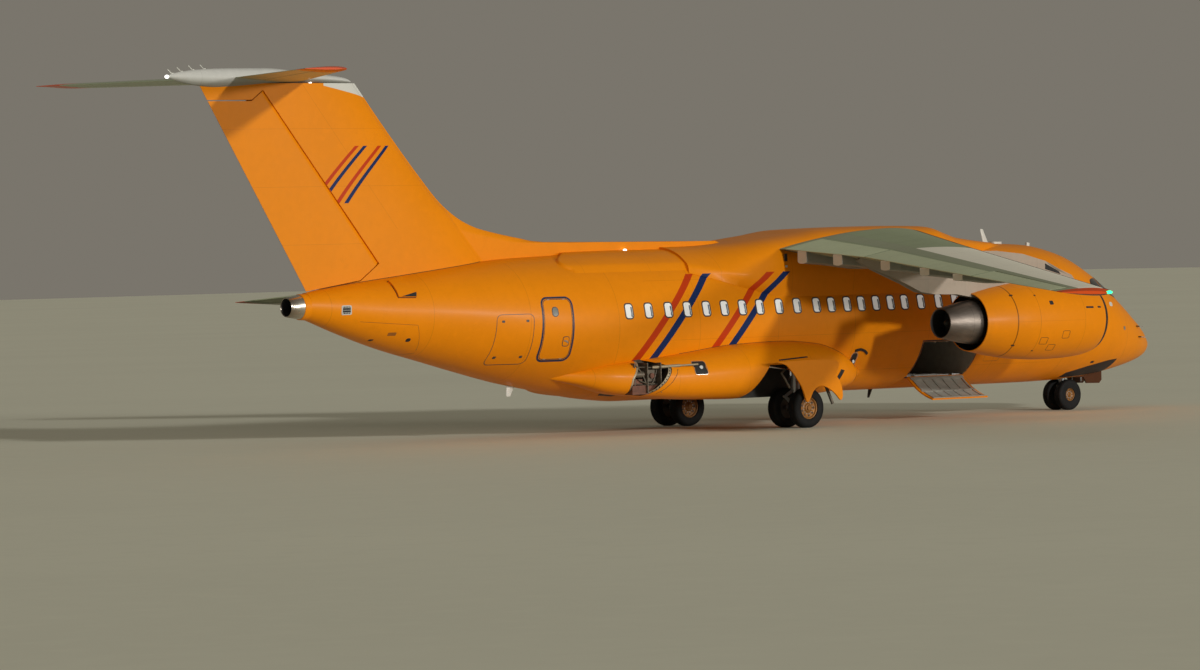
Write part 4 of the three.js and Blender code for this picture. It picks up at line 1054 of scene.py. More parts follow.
for tag, side in SIDES:
    centre = (0, side * ENGINE_Y, ENGINE_Z)
    outer = smooth_profile(along_x(COWL_OUTSIDE), 60)
    inner = smooth_profile(along_x(COWL_INSIDE), 40)
    cowl = Shape().turned(outer, centre, segments=96)
    cowl.turned([outer[-1], inner[0]], centre, segments=96)
    intake = [p for p in inner if p[0] > aft(FAN_AFT)]
    duct = [p for p in inner if p[0] <= aft(FAN_AFT)]
    cowl.turned(duct + [intake[0]], centre, segments=96, kind=1)
    cowl.turned(intake + [outer[0]], centre, segments=96, kind=2)
    piece(f"cowl_skin_{tag}", cowl, [cowl_paint, duct_dark, duct_pale], replaces=(f"cowl_{tag}",),
          sharp=45)

    core = Shape()
    nozzle_side = smooth_profile(along_x([CORE_FRONT[-1], (9.87, 0.50), (CORE_REAR, CORE_RADIUS)]), 20)
    core.turned(along_x(CORE_FRONT), centre, segments=72, kind=1)
    core.turned(nozzle_side, centre, segments=72)
    core.turned(along_x(CORE_LIP), centre, segments=72)
    core.turned(along_x(CORE_OPENING), centre, segments=72, kind=1)
    core.turned(smooth_profile(along_x(CORE_CONE), 12), centre, segments=40, kind=1)
    for angle in around(GUIDE_VANES, 0.5):
        turn = Matrix.Rotation(angle, 3, "X")
        core.box((aft(8.5), -0.014, 0.46), (aft(8.15), 0.014, 0.735), kind=1, turn=turn)
        core.points[-8:] = [(x, y + centre[1], z + centre[2]) for x, y, z in core.points[-8:]]
    piece(f"engine_core_skin_{tag}", core, [nozzle, duct_dark], replaces=(f"engine_core_{tag}",),
          sharp=40)

    fan = Shape()
    fan.turned(smooth_profile(along_x(SPINNER), 24), centre, segments=48, kind=1)
    fan.turned(along_x(SPINNER_REAR), centre, segments=48, kind=1)
    for angle in around(FAN_BLADES):
        fan.loft(fan_blade(Matrix.Rotation(angle, 3, "X"), centre))
    piece(f"fan_skin_{tag}", fan, [blade_metal, spinner_grey], body=f"fan_{tag}", replaces=(f"fan_{tag}",),
          sharp=40)

    piece(f"pylon_skin_{tag}", pylon_shape(side * ENGINE_Y), [pylon_paint], replaces=(f"pylon_{tag}",),
          sharp=40)

# Fin and rudder

FIN_TOP, FIN_THICKNESS, SPINE_HALF = 7.88, 0.052, 0.095
# Height, and how far aft the fin's front is there
FIN_ROWS = [
    (3.3, 13.4), (4.12, 13.3), (4.285, 13.9), (4.31, 16.5), (4.35, 19.06), (4.45, 19.7), (4.56, 20.3),
    (4.7, 20.9), (4.9, 21.37), (5.25, 21.87), (5.81, 22.41), (6.98, 23.42),
]


def fin_trailing(z):
    return 25.62 + (z - 3.43) * (28.27 - 25.62) / (7.82 - 3.43)


def fin_leading(z):
    return 24.24 - (7.98 - z) * 0.868


def fin_half(back, z):
    front, rear = fin_leading(z), fin_trailing(z)
    share = max(0.0, min(1.0, (back - front) / (rear - front)))
    return section_shape(share) * FIN_THICKNESS * (rear - front) + EDGE_HALF


FIN_FRONT = smooth_curve(*zip(*FIN_ROWS, (FIN_TOP, fin_leading(FIN_TOP))))
FIN_PLACES = spread(3.3, 4.285, 5)[:-1] + spread(4.285, 5.3, 34)[:-1] + spread(5.3, FIN_TOP, 40)
SPINE_STEPS, BLADE_STEPS = 14, 36


def fin_ring(z):
    """One level ring of the fin: its spine's steps first, then the blade's, closer together at both ends."""
    front, rear = FIN_FRONT(z), fin_trailing(z)
    main_front = max(front + 0.06, fin_leading(z))
    stations = [front + (main_front - front) * (i / SPINE_STEPS) ** 1.5 for i in range(1, SPINE_STEPS + 1)]
    for i in range(1, BLADE_STEPS + 1):
        stations.append(main_front + (rear - main_front) * 0.5 * (1 - math.cos(math.pi * i / BLADE_STEPS)))
    ring_port = []
    for back in stations:
        share = min(1.0, max(0.0, (back - main_front) / (rear - main_front)))
        blade = section_shape(share) * FIN_THICKNESS * (rear - main_front)
        spine = SPINE_HALF * min(1.0, math.sqrt(max(0.0, back - front) / 0.7)) * (1 - share)
        ring_port.append((aft(back), max(blade, spine) + EDGE_HALF * min(1.0, (back - front) * 2), z))
    return [(aft(front), 0.0, z), *ring_port, *[(x, -y, up) for x, y, up in reversed(ring_port)]]


RUDDER_LOW, RUDDER_HIGH = (23.85, 3.91), (26.777, 7.675)
RUDDER_HEEL, RUDDER_SHOULDER, RUDDER_GAP = 0.50, 0.285, 0.022
hinge_way = Vector((RUDDER_HIGH[0] - RUDDER_LOW[0], RUDDER_HIGH[1] - RUDDER_LOW[1])).normalized()


def off_hinge(end, up, behind):
    """A point so far up along the rudder's hinge line and so far behind it."""
    back, z = end
    return back + hinge_way.x * up + hinge_way.y * behind, z + hinge_way.y * up - hinge_way.x * behind


RUDDER_OUTLINE = [
    off_hinge(RUDDER_LOW, 0, 0), off_hinge(RUDDER_LOW, 0, RUDDER_HEEL), (26.1, 3.315), (28.7, 7.5),
    off_hinge(RUDDER_HIGH, 0, RUDDER_SHOULDER), off_hinge(RUDDER_HIGH, 0, 0),
]
RUDDER_SPACE = [
    off_hinge(RUDDER_LOW, -RUDDER_GAP, -fin_half(*RUDDER_LOW) * LIP_SINE - 0.012),
    off_hinge(RUDDER_LOW, -RUDDER_GAP, RUDDER_HEEL), (26.1, 3.298), (29.0, 7.4), (28.9, 7.524),
    (27.0, 7.526), off_hinge(RUDDER_HIGH, RUDDER_GAP, -fin_half(*RUDDER_HIGH) * LIP_SINE - 0.012),
]


def hinge_cone(share, more):
    """A round body about the rudder's hinge line, as wide as a share of the fin's thickness there."""
    rings = []
    for end, shift in ((RUDDER_LOW, -more), (RUDDER_HIGH, more)):
        radius = fin_half(*end) * share
        ring = []
        for a in around(48):
            back, up = off_hinge(end, shift, radius * math.cos(a))
            ring.append((aft(back), radius * math.sin(a), up))
        rings.append(ring)
    return Shape().loft(rings)


def hinge_distance(s):
    """How far a place lies behind the rudder's hinge line."""
    return (s.back - RUDDER_LOW[0]) * hinge_way.y + (s.z - RUDDER_LOW[1]) * -hinge_way.x


def fin_seams(s):
    along = hinge_distance(s)
    seams = along.line(-0.95, 0.006) * 0.5 * s.z.above(4.7, 0.01)
    return (seams + s.z.lines(1.25, 0.006, 0.6) * 0.4 * s.z.above(4.5, 0.01)).clamped()


fin_shader = livery(painted("fin_paint"), *FIN_LIVERY)
# The front of the fin's tip is pale
tip = (fin_shader.z + (fin_shader.back - 24.07) * -0.2).above(7.61, 0.004)
fin_shader.tint(tip * fin_shader.back.below(25.15, 0.004), (0.62, 0.62, 0.57))
fin_paint = finish_paint(fin_shader, fin_seams(fin_shader))
rudder_shader = painted("rudder_paint")
rudder_paint = finish_paint(rudder_shader, cross_seams(rudder_shader.z, 1.25, 0.006, 0.6, 0.4))

fin_whole = Shape().loft([fin_ring(z) for z in FIN_PLACES])
rudder_block = cutter("rudder_block", Shape().plate(RUDDER_OUTLINE, -0.9, 0.9), orange)
rudder_space = cutter("rudder_space", Shape().plate(RUDDER_SPACE, -0.9, 0.9), orange)
nose_hollow = cutter("nose_hollow", hinge_cone(0.99, RUDDER_GAP), orange)
piece("fin_skin", fin_whole, [fin_paint], cuts=[("DIFFERENCE", rudder_space), ("DIFFERENCE", nose_hollow)],
      replaces=("fin",))
nose_roller = cutter("nose_roller", hinge_cone(0.97, 0.0), rudder_paint)
piece("rudder_skin", fin_whole, [rudder_paint], body="rudder",
      cuts=[("INTERSECT", rudder_block), ("UNION", nose_roller)], replaces=("rudder",))
discard(rudder_block, rudder_space, nose_roller, nose_hollow)
# Rubber strips in the gaps at the rudder's two ends
SEAL_HALF = 0.007
rudder_seals = Shape()
for end, reach, up in ((RUDDER_LOW, RUDDER_HEEL + 0.1, -0.5), (RUDDER_HIGH, RUDDER_SHOULDER - 0.03, 0.5)):
    corners = ((-SEAL_HALF, -0.03), (-SEAL_HALF, reach), (SEAL_HALF, reach), (SEAL_HALF, -0.03))
    outline = [off_hinge(end, up * RUDDER_GAP + rise, behind) for rise, behind in corners]
    rudder_seals.plate(outline, -0.012, 0.012)
piece("rudder_end_seals", rudder_seals, [rubber_seal])

# Tailplane

ELEVATOR_SPAN, ELEVATOR_LINE = (0.42, 4.65), 0.68
ELEVATOR_HOLLOW, TAIL_HALF_SPAN = (0.388, 4.666), 4.92


def tailplane_paint():
    """Grey paint with rib lines and red tips."""
    s = Shader("tailplane_skin_paint", WING_GREY, rough=0.4, coat=0.2, coat_rough=0.2)
    s.vary(0.8, 0.06)
    s.vary(9.0, 0.03)
    s.tint(s.y.size().above(4.32, 0.005), ORANGE_RED)
    ribs = cross_seams(s.y.size(), 1.2, 0.008, 0.35, 0.5)
    s.tint(ribs * 0.6, GREY_SEAM)
    s.bump(s.noise(1.7, 2.0) * 0.5 + ribs * -0.6, GREY_WAVE)
    return s.done()


tail_paint = tailplane_paint()
stabiliser = Shape()
for tag, side in SIDES:
    wing_part(stabiliser, TAIL_TABLE, (0.0, ELEVATOR_HOLLOW[0]), (0.0, 1.0), side)
    coved_part(stabiliser, TAIL_TABLE, ELEVATOR_HOLLOW, ELEVATOR_LINE, side)
    wing_part(stabiliser, TAIL_TABLE, (ELEVATOR_HOLLOW[1], TAIL_HALF_SPAN), (0.0, 1.0), side)
    elevator = wing_part(Shape(), TAIL_TABLE, ELEVATOR_SPAN, (ELEVATOR_LINE, 1.0), side, nose=0.985)
    piece(f"elevator_skin_{tag}", elevator, [tail_paint], body=f"elevator_{tag}",
          replaces=(f"elevator_{tag}",))
piece("tailplane_skin", stabiliser, [tail_paint], replaces=("tailplane",))

# Aft, half width, height of the fairing's underside and of its top
FAIRING_SEAT = FIN_TOP + SEAT
TOP_FAIRING_TABLE = [
    (24.25, 0.04, FAIRING_SEAT, 7.96), (24.6, 0.11, FAIRING_SEAT, 8.03), (25.4, 0.19, FAIRING_SEAT, 8.11),
    (26.6, 0.215, FAIRING_SEAT, 8.21), (27.6, 0.19, FAIRING_SEAT, 8.205), (28.35, 0.13, FAIRING_SEAT, 8.175),
    (28.8, 0.075, 7.93, 8.125), (29.1, 0.025, 7.99, 8.065),
]
BULLET_DROP = smooth_curve([24.25, 25.6, 26.6, 27.9, 28.35, 29.1], [0.0, 0.0, 0.07, 0.09, 0.05, 0.0])
bullet_rings = []
for back, half, low, high in table_rows(TOP_FAIRING_TABLE, 60):
    ends = min(1.0, math.sqrt(max(0.02, (back - 24.25) / 0.12)), math.sqrt(max(0.02, (29.1 - back) / 0.06)))
    low -= BULLET_DROP(back)
    middle, reach = (low + high) / 2, (high - low) / 2 * ends
    bullet_rings.append([(aft(back), half * ends * math.cos(a), middle + reach * math.sin(a))
                         for a in around(40)])


def bullet_seams(s):
    return (s.back.line(26.1, 0.006) + s.back.line(28.3, 0.006)) * 0.5


bullet_paint = grey_paint("tip_fairing_paint", bullet_seams, (0.55, 0.55, 0.52))
piece("fin_top_skin", Shape().loft(bullet_rings), [bullet_paint], replaces=("fin_top_fairing",))

# Gear fairings

# Aft, reach outboard, height of the top and of the underside
SIDE_FAIRING_TABLE = [
    (10.3, 0.95, 1.30, 1.1), (10.7, 1.25, 1.34, 1.06), (11.05, 1.56, 1.50, 0.91), (11.5, 1.85, 1.70, 0.82),
    (12.3, 2.15, 1.90, 0.74), (13.4, 2.29, 1.975, 0.705), (14.8, 2.29, 1.94, 0.705), (16.3, 2.15, 1.79, 0.74),
    (17.4, 1.93, 1.69, 0.83), (18.25, 1.64, 1.64, 0.93), (19.0, 1.20, 1.52, 1.16), (19.6, 0.85, 1.5, 1.3),
]
FAIRING_INNER = 0.7
# How square the fairing's upper and lower halves are
FAIRING_UPPER, FAIRING_LOWER = 1.05, 0.72
WELL_OUTLINE = [(12.78, 0.3), (12.78, 1.25), (12.95, 1.45), (14.3, 1.45), (14.95, 0.7), (14.95, 0.3)]
HATCH_OUTLINE = [
    (17.58, 0.87), (17.45, 0.915), (17.31, 1.0), (17.14, 1.16), (17.01, 1.345), (16.96, 1.44), (16.95, 1.50),
    (17.0, 1.53), (17.17, 1.575), (17.39, 1.64), (17.52, 1.665), (17.66, 1.65), (17.74, 1.56), (17.81, 1.45),
    (17.90, 1.32), (17.94, 1.255), (17.97, 1.08), (17.96, 0.93), (17.94, 0.90), (17.75, 0.885),
]
HATCH_DEPTH_Y = 1.08


FAIRING_PLACES, *FAIRING_MEASURES = zip(*SIDE_FAIRING_TABLE)
FAIRING_CURVES = [smooth_curve(FAIRING_PLACES, measure) for measure in FAIRING_MEASURES]


def fairing_section(back):
    """The middle of a gear fairing's section and half its width across, then the same for its height."""
    outer, high, low = [curve(back) for curve in FAIRING_CURVES]
    return (outer + FAIRING_INNER) / 2, (outer - FAIRING_INNER) / 2, (high + low) / 2, (high - low) / 2


def side_fairing(side):
    rings = []
    for back in spread(FAIRING_PLACES[0], FAIRING_PLACES[-1], 70):
        middle, half, level, rise = fairing_section(back)
        ring = []
        for i, a in enumerate(around(64)):
            power = FAIRING_UPPER if i < 32 else FAIRING_LOWER
            c, s = [math.copysign(abs(v) ** power, v) for v in (math.cos(a), math.sin(a))]
            ring.append((aft(back), side * (middle + half * c), level + rise * s))
        rings.append(ring)
    return Shape().loft(rings)


def fairing_at(back, z, side, lift=0.0):
    """A point on the outside of a gear fairing."""
    back = max(FAIRING_PLACES[0], min(FAIRING_PLACES[-1], back))
    middle, half, level, rise = fairing_section(back)
    share = max(-1.0, min(1.0, (z - level) / rise))
    power = FAIRING_UPPER if share > 0 else FAIRING_LOWER
    s = abs(share) ** (1 / power)
    across = math.sqrt(max(0.0, 1 - s * s)) ** power
    return Vector((aft(back), side * (middle + half * across + lift), z))


well_lining = plain_finish("well_lining", (0.035, 0.034, 0.032), 0.65, 0.2, 5.0, 0.3)
hatch_lining = plain_finish("hatch_lining", (0.10, 0.075, 0.055), 0.6, 0.2, 7.0, 0.35)
for tag, side in SIDES:
    well = cutter("well_cutter", Shape().plate(WELL_OUTLINE, *between(side, 1.5, 3.0)), well_lining)
    cuts = [("DIFFERENCE", well)]
    if side < 0:
        hatch = cutter("hatch_cutter", Shape().plate(HATCH_OUTLINE, -2.6, -HATCH_DEPTH_Y), hatch_lining)
        cuts.append(("DIFFERENCE", hatch))
    piece(f"gear_fairing_skin_{tag}", side_fairing(side), [fairing_paint], cuts=cuts,
          replaces=(f"gear_fairing_{tag}",))
    discard(*[thing for _, thing in cuts])

# Wheels

def tyre_rubber():
    s = Shader("tyre_rubber", (0.010, 0.010, 0.0105), rough=0.75, specular=0.18)
    s.vary(3.0, 0.35)
    s.tint(((s.noise(9.0, 6.0) - 0.5) * 2.0).clamped() * 0.35, (0.03, 0.028, 0.026))
    s.roughness(s.noise(20.0, 4.0) * 0.2 + 0.6)
    s.bump(s.noise(120.0, 3.0), 0.0008, coat=False)
    return s.done()


tyre = tyre_rubber()
hub_paint = plain_finish("wheel_hub_paint", (0.27, 0.11, 0.015), 0.5, 0.2, 12.0, 0.3)
# Dark brown of the hub's back disc, and painted shade inside the cooling holes
hub_back_and_hole_shade = plain_finish("wheel_hub_back_and_hole_shade", (0.05, 0.035, 0.025), 0.55, 0.3, 12.0, 0.3)


TREAD_GROOVES, HUB_HOLES, HUB_BOLTS = 4, 9, 12
# Share of the half width and of the hub's radius along the rim's outside and the disc at its back
RIM = [(0.62, 0.98), (0.70, 1.03), (0.66, 0.93), (0.42, 0.86), (0.34, 0.62), (0.44, 0.42), (0.62, 0.34),
       (0.66, 0.24), (0.86, 0.2), (0.86, 0.0)]
BACK_DISC = [(-0.62, 0.98), (-0.5, 0.8), (-0.5, 0.0)]


def wheel(shape, centre, radius, width, hub, side):
    """One wheel with its tyre, rim, dished hub, cooling holes and bolts. Side is where the dish faces."""
    x, y, z = centre
    half = width / 2
    profile = [(-half * 0.62, hub * 0.98), (-half * 0.86, hub * 1.04), (-half * 0.98, radius * 0.72),
               (-half, radius * 0.8), (-half * 0.93, radius * 0.9), (-half * 0.78, radius * 0.965),
               (-half * 0.6, radius * 0.994)]
    tread = []
    for i in range(TREAD_GROOVES):
        middle = half * 0.56 * (-1 + 2 * (i + 0.5) / TREAD_GROOVES)
        tread += [(middle + across, radius - depth) for across, depth in
                  ((-0.009, 0.0), (-0.006, 0.009), (0.006, 0.009), (0.009, 0.0))]
    mirrored = [(-a, r) for a, r in reversed(profile)]
    shape.turned([*profile, *tread, *mirrored], centre, "Y", 72)
    for kind, outline in ((1, RIM), (2, BACK_DISC)):
        turned = [(side * half * across, hub * out) for across, out in outline]
        shape.turned(turned, centre, "Y", 48, kind=kind)
    near, hole_end, bolt_end = [y + side * half * share for share in (0.3, 0.4, 0.46)]
    # The cooling holes are dark rods set into the hub: painted shade inside the holes
    for a in around(HUB_HOLES):
        across, up = x + hub * 0.73 * math.cos(a), z + hub * 0.73 * math.sin(a)
        shape.rod((across, near, up), (across, hole_end, up), hub * 0.105, kind=2, segments=14)
    for a in around(HUB_BOLTS, 0.5):
        across, up = x + hub * 0.52 * math.cos(a), z + hub * 0.52 * math.sin(a)
        shape.rod((across, near, up), (across, bolt_end, up), 0.012, kind=3, segments=6)


def twin(name, body, centre, radius, reach, width, hub, axle):
    """A pair of wheels on one axle, each its reach from the pair's middle."""
    x, y, z = centre
    shape = Shape()
    for side in (1, -1):
        wheel(shape, (x, y + side * reach, z), radius, width, hub, side)
    shape.rod((x, y - reach, z), (x, y + reach, z), axle, kind=3, segments=24)
    piece(name, shape, [tyre, hub_paint, hub_back_and_hole_shade, steel], body=body, replaces=(body,),
          sharp=30)


for tag, side in SIDES:
    twin(f"main_wheel_pair_{tag}", f"main_wheels_{tag}", (aft(MAIN_AFT), side * MAIN_Y, MAIN_RADIUS),
         MAIN_RADIUS, 0.348, 0.29, 0.25, 0.055)
twin("nose_wheel_pair", "nose_wheels", (aft(NOSE_GEAR_AFT), 0, NOSE_RADIUS),
     NOSE_RADIUS, 0.205, 0.22, 0.15, 0.034)

# Legs

LEG_DOOR_OUTLINE = [
    (14.37, 1.52), (14.15, 1.44), (13.9, 1.2), (13.7, 0.93), (13.6, 0.68), (13.56, 0.6), (13.5, 0.6),
    (13.43, 0.7), (13.34, 0.84), (13.2, 0.925), (13.05, 0.94), (12.85, 0.86), (12.68, 0.74), (12.56, 0.62),
    (12.5, 0.61), (12.46, 0.7), (12.48, 0.89), (12.56, 1.06), (12.65, 1.19), (12.68, 1.52),
]
LEG_DOOR_Y = 2.62


def rounded_path(points, steps=4):
    """A closed outline through points, with its corners rounded."""
    count = len(points)
    result = []
    for i in range(count):
        p0, p1, p2, p3 = [Vector(points[(i + k) % count]) for k in (-1, 0, 1, 2)]
        for k in range(steps):
            t = k / steps
            q = 0.5 * ((2 * p1) + (p2 - p0) * t + (2 * p0 - 5 * p1 + 4 * p2 - p3) * t ** 2
                       + (3 * p1 - p0 - 3 * p2 + p3) * t ** 3)
            result.append(tuple(q))
    return result


# Low and high end, radius and material of the main leg's cylinder, its two collars and its sliding strut
MAIN_LEG_RODS = [(0.82, 1.4497, 0.105, 0), (0.80, 0.84, 0.112, 0), (1.12, 1.16, 0.113, 0),
                 (MAIN_RADIUS, 0.84, 0.074, 1)]
# Distance aft, shift from the leg's middle and height of the points of the two brake lines
BRAKE_LINES = [
    [(13.28, 0.06, 1.3), (13.27, 0.07, 0.9), (13.32, 0.06, 0.62)],
    [(13.28, -0.06, 1.3), (13.26, -0.07, 0.88), (13.32, -0.06, 0.6)],
]
for tag, side in SIDES:
    x, y = aft(MAIN_AFT), side * MAIN_Y
    leg = Shape()
    for low, high, radius, kind in MAIN_LEG_RODS:
        leg.rod((x, y, low), (x, y, high), radius, kind, segments=40)
    leg.rod((x, y - 0.095, MAIN_RADIUS), (x, y + 0.095, MAIN_RADIUS), 0.1, segments=32)
    for shift in (-0.036, 0.036):
        link = [(aft(back), y + shift, z) for back, z in ((13.45, 0.86), (13.70, 0.72), (13.44, 0.50))]
        leg.pipe(link, 0.02, segments=12)
    leg.rod((aft(13.70), y - 0.045, 0.72), (aft(13.70), y + 0.045, 0.72), 0.028, segments=16)
    leg.rod((aft(13.36), y, 1.3), (aft(14.1), y - side * 0.25, 1.43), 0.035, kind=1, segments=16)
    for brake_line in BRAKE_LINES:
        leg.pipe([(aft(back), y + shift, z) for back, shift, z in brake_line], 0.008, kind=2)
    piece(f"main_leg_metal_{tag}", leg, [steel, chrome, rubber_seal], replaces=(f"main_leg_{tag}",))

    # The door, its two brackets on the leg and the ribs on its inner side
    outline = rounded_path(LEG_DOOR_OUTLINE)
    rings = []
    for shift, inset in ((0.0, 0.006), (0.004, 0.0), (0.036, 0.0), (0.04, 0.006)):
        rings.append([(aft(back + way.y * inset), side * (LEG_DOOR_Y + shift), z - way.x * inset)
                      for (back, z), way in zip(outline, ways_along(outline))])
    door = Shape().loft(rings)
    low, high = between(side, MAIN_Y + 0.1045, LEG_DOOR_Y + 0.01)
    for z in (1.095, 1.335):
        door.box((aft(13.43), low, z - 0.035), (aft(13.34), high, z + 0.035), kind=1)
    low, high = between(side, LEG_DOOR_Y - 0.012, LEG_DOOR_Y)
    for back, foot in ((12.75, 1.2), (13.2, 1.05), (13.65, 1.05), (14.0, 1.2)):
        door.box((aft(back + 0.02), low, foot), (aft(back - 0.02), high, 1.42), kind=1)
    piece(f"leg_door_skin_{tag}", door, [door_paint, steel], replaces=(f"leg_door_{tag}",))

nose_leg = Shape()
x = aft(NOSE_GEAR_AFT)
nose_tube = [(0.766, 0.0528), (0.766, 0.088), (0.80, 0.092), (0.83, 0.088), (1.3997, 0.088), (1.3997, 0.0)]
nose_leg.turned(nose_tube, (x, 0, 0), "Z", 40)
nose_leg.turned([(0.766, 0.0528), (1.0, 0.0528), (1.0, 0.0)], (x, 0, 0), "Z", 40)
nose_leg.rod((x + 0.05, 0, 0.93), (x + 0.62, 0, 1.36), 0.03, kind=1, segments=16)
nose_leg.rod((x + 0.12, -0.09, 0.9), (x + 0.12, 0.09, 0.9), 0.024, segments=12)
for side in (1, -1):
    nose_leg.rod((x + 0.1, side * 0.11, 1.0), (x + 0.15, side * 0.11, 1.0), 0.055, segments=20)
    nose_leg.rod((x + 0.15, side * 0.11, 1.0), (x + 0.154, side * 0.11, 1.0), 0.048, kind=2, segments=20)
    nose_leg.rod((x, side * 0.08, 1.0), (x + 0.12, side * 0.11, 1.0), 0.014, segments=8)
lamp_glass = Shader("lamp_glass", (0.55, 0.56, 0.56), rough=0.12)
lamp_glass.vary(40.0, 0.08)
lamp_glass.glow((1.0, 0.97, 0.88), 0.1)
lamp_glass = lamp_glass.done()
piece("nose_leg_metal", nose_leg, [steel, chrome, lamp_glass], replaces=("nose_leg",))

# The steered part: strut, collar, axle boss, tow lug and torque links
fork = Shape()
fork.rod((x, 0, 0.36), (x, 0, 0.64), 0.06, segments=32)
fork.turned([(0.64, 0.0), (0.64, 0.062), (0.65, 0.08), (0.76, 0.08), (0.76, 0.052)], (x, 0, 0), "Z", 40)
fork.rod((x, 0, 0.755), (x, 0, 0.98), 0.0518, kind=1, segments=40)
fork.rod((x, -0.052, NOSE_RADIUS), (x, 0.052, NOSE_RADIUS), 0.062, segments=32)
fork.rod((x, 0, 0.56), (x + 0.15, 0, 0.56), 0.04, segments=20)
fork.rod((x + 0.15, 0, 0.52), (x + 0.15, 0, 0.60), 0.04, segments=20)
fork.pipe([(x - 0.05, 0, 0.70), (x - 0.17, 0, 0.6), (x - 0.05, 0, 0.46)], 0.016, segments=10)
piece("nose_fork_metal", fork, [steel, chrome], body="nose_fork", replaces=("nose_fork",))

# Painted shade: the nose gear doors' orange is darkened to a near-black brown
bay_door_painted_shade = finish_paint(painted("bay_door_painted_shade", (0.07, 0.022, 0.006)))
NOSE_DOOR_OUTLINE = [
    (1.85, 0.94), (2.9, 0.94), (2.9, 0.79), (2.46, 0.78), (2.36, 0.63), (1.93, 0.62), (1.85, 0.70),
]
for tag, side in SIDES:
    door = Shape().plate(NOSE_DOOR_OUTLINE, *between(side, 0.262, 0.2997))
    low, high = between(side, 0.254, 0.262)
    for back, foot in ((2.0, 0.66), (2.3, 0.66), (2.6, 0.80), (2.8, 0.80)):
        door.box((aft(back + 0.012), low, foot), (aft(back - 0.012), high, 0.89), kind=1)
    piece(f"nose_door_skin_{tag}", door, [bay_door_painted_shade, steel], replaces=(f"nose_door_{tag}",))

# Hold door: a piece of the fuselage wall that swings down about its lower edge

DOOR_GAP, DOOR_OPEN = 0.014, math.radians(83)
DOOR_HINGE_Y = -math.sqrt(1.675 ** 2 - (2.394 - HOLD_FLOOR) ** 2)


def opened(point):
    """Turns a point of the closed door to where it is with the door open."""
    offset = Matrix.Rotation(DOOR_OPEN, 3, "X") @ Vector((0, point[1] - DOOR_HINGE_Y, point[2] - HOLD_FLOOR))
    return Vector((point[0], DOOR_HINGE_Y + offset.y, HOLD_FLOOR + offset.z))


def on_open_door(lift):
    """A map from (aft, z) on the closed door to the open one, raised off its skin."""
    return lambda back, z, more=0.0: opened(skin_at(back, skin_angle(back, z, -1), lift + more))


def door_grid(lift, places, heights):
    return [[on_open_door(lift)(back, z) for z in heights] for back in places]


RIB_WIDE, RIB_DEEP = 0.05, 0.016
hold_door = Shape()
door_z = spread(HOLD_FLOOR + DOOR_GAP, HOLD_TOP - DOOR_GAP, 16)
door_x = spread(HOLD_FRONT + DOOR_GAP, HOLD_REAR - DOOR_GAP, 12)
hold_door.slab(*[door_grid(lift, door_x, door_z) for lift in (0.0, -0.03)])
hold_door.slab(*[door_grid(lift, door_x[1:-1], door_z[1:-1]) for lift in (-0.029, -0.034)], kind=1)
ribs = [[(back, z) for z in spread(HOLD_FLOOR + 0.05, HOLD_TOP - 0.05, 12)]
        for back in spread(HOLD_FRONT + 0.12, HOLD_REAR - 0.12, 5)]
ribs += [[(back, z) for back in spread(HOLD_FRONT + 0.06, HOLD_REAR - 0.06, 12)]
         for z in (HOLD_FLOOR + 0.06, 1.40, HOLD_TOP - 0.06)]
for rib in ribs:
    strip(hold_door, rib, RIB_WIDE, on_open_door(-0.033), kind=1, depth=RIB_DEEP)
for back in (HOLD_FRONT + 0.3, HOLD_REAR - 0.3):
    start = len(hold_door.points)
    hold_door.box((aft(back + 0.06), DOOR_HINGE_Y - 0.012, HOLD_FLOOR + SEAT),
                  (aft(back - 0.06), DOOR_HINGE_Y + 0.03, HOLD_FLOOR + 0.04), kind=2)
    hold_door.points[start:] = [tuple(opened(point)) for point in hold_door.points[start:]]
door_lining = plain_finish("door_lining", (0.36, 0.35, 0.31), 0.5, 0.1, 6.0, 0.15)
piece("hold_door_skin", hold_door, [door_paint, door_lining, steel], body="hold_door",
      replaces=("hold_door",))

# Cabin windows: a thin dark rim, a pane that glows with painted light as if the cabin were lit, and painted
# shade at the pane's edge

WINDOW_Z, WINDOW_WIDE, WINDOW_TALL = 2.76, 0.255, 0.365
WINDOW_PLACES = [
    17.884, 17.314, 16.734, 16.175, 15.612, 15.075, 14.536, 14.012, 13.431, 12.882, 12.285, 11.829, 11.340,
    10.901, 10.439, 9.984, 9.543, 9.023, 8.463, 7.933, 7.403, 6.873, 6.343, 5.813,
]
pane = Shader("window_pane_painted_light", (0.68, 0.70, 0.70), rough=0.2, coat=0.4)
pane.vary(2.1, 0.10, detail=1.0)
# Painted light: the pane glows as if lit from the cabin behind it
pane.glow((1.0, 0.98, 0.93), 0.22)
pane = pane.done()
pane_painted_shade = plain_finish("window_painted_shade", (0.16, 0.20, 0.27), 0.25, scale=4.0)
window_rim = plain_finish("window_rim", (0.05, 0.045, 0.04), 0.45)
for tag, side in SIDES:
    windows = Shape()
    for back in WINDOW_PLACES:
        rim = rounded(back, WINDOW_Z, WINDOW_WIDE, WINDOW_TALL, 0.085)
        glass = rounded(back, WINDOW_Z, WINDOW_WIDE - 0.06, WINDOW_TALL - 0.06, 0.06)
        # Painted shade along the pane's forward edge
        painted_shade_edge = rounded(back - 0.066, WINDOW_Z - 0.02, 0.042, WINDOW_TALL - 0.14, 0.018, 2)
        patch(windows, rim, on_side(side, 0.003), depth=0.012)
        patch(windows, glass, on_side(side, 0.0055), kind=1, depth=0.004)
        patch(windows, painted_shade_edge, on_side(side, 0.007), kind=2, depth=0.003, rings=1)
    piece(f"cabin_windows_{tag}", windows, [window_rim, pane, pane_painted_shade])

# Flight deck windows

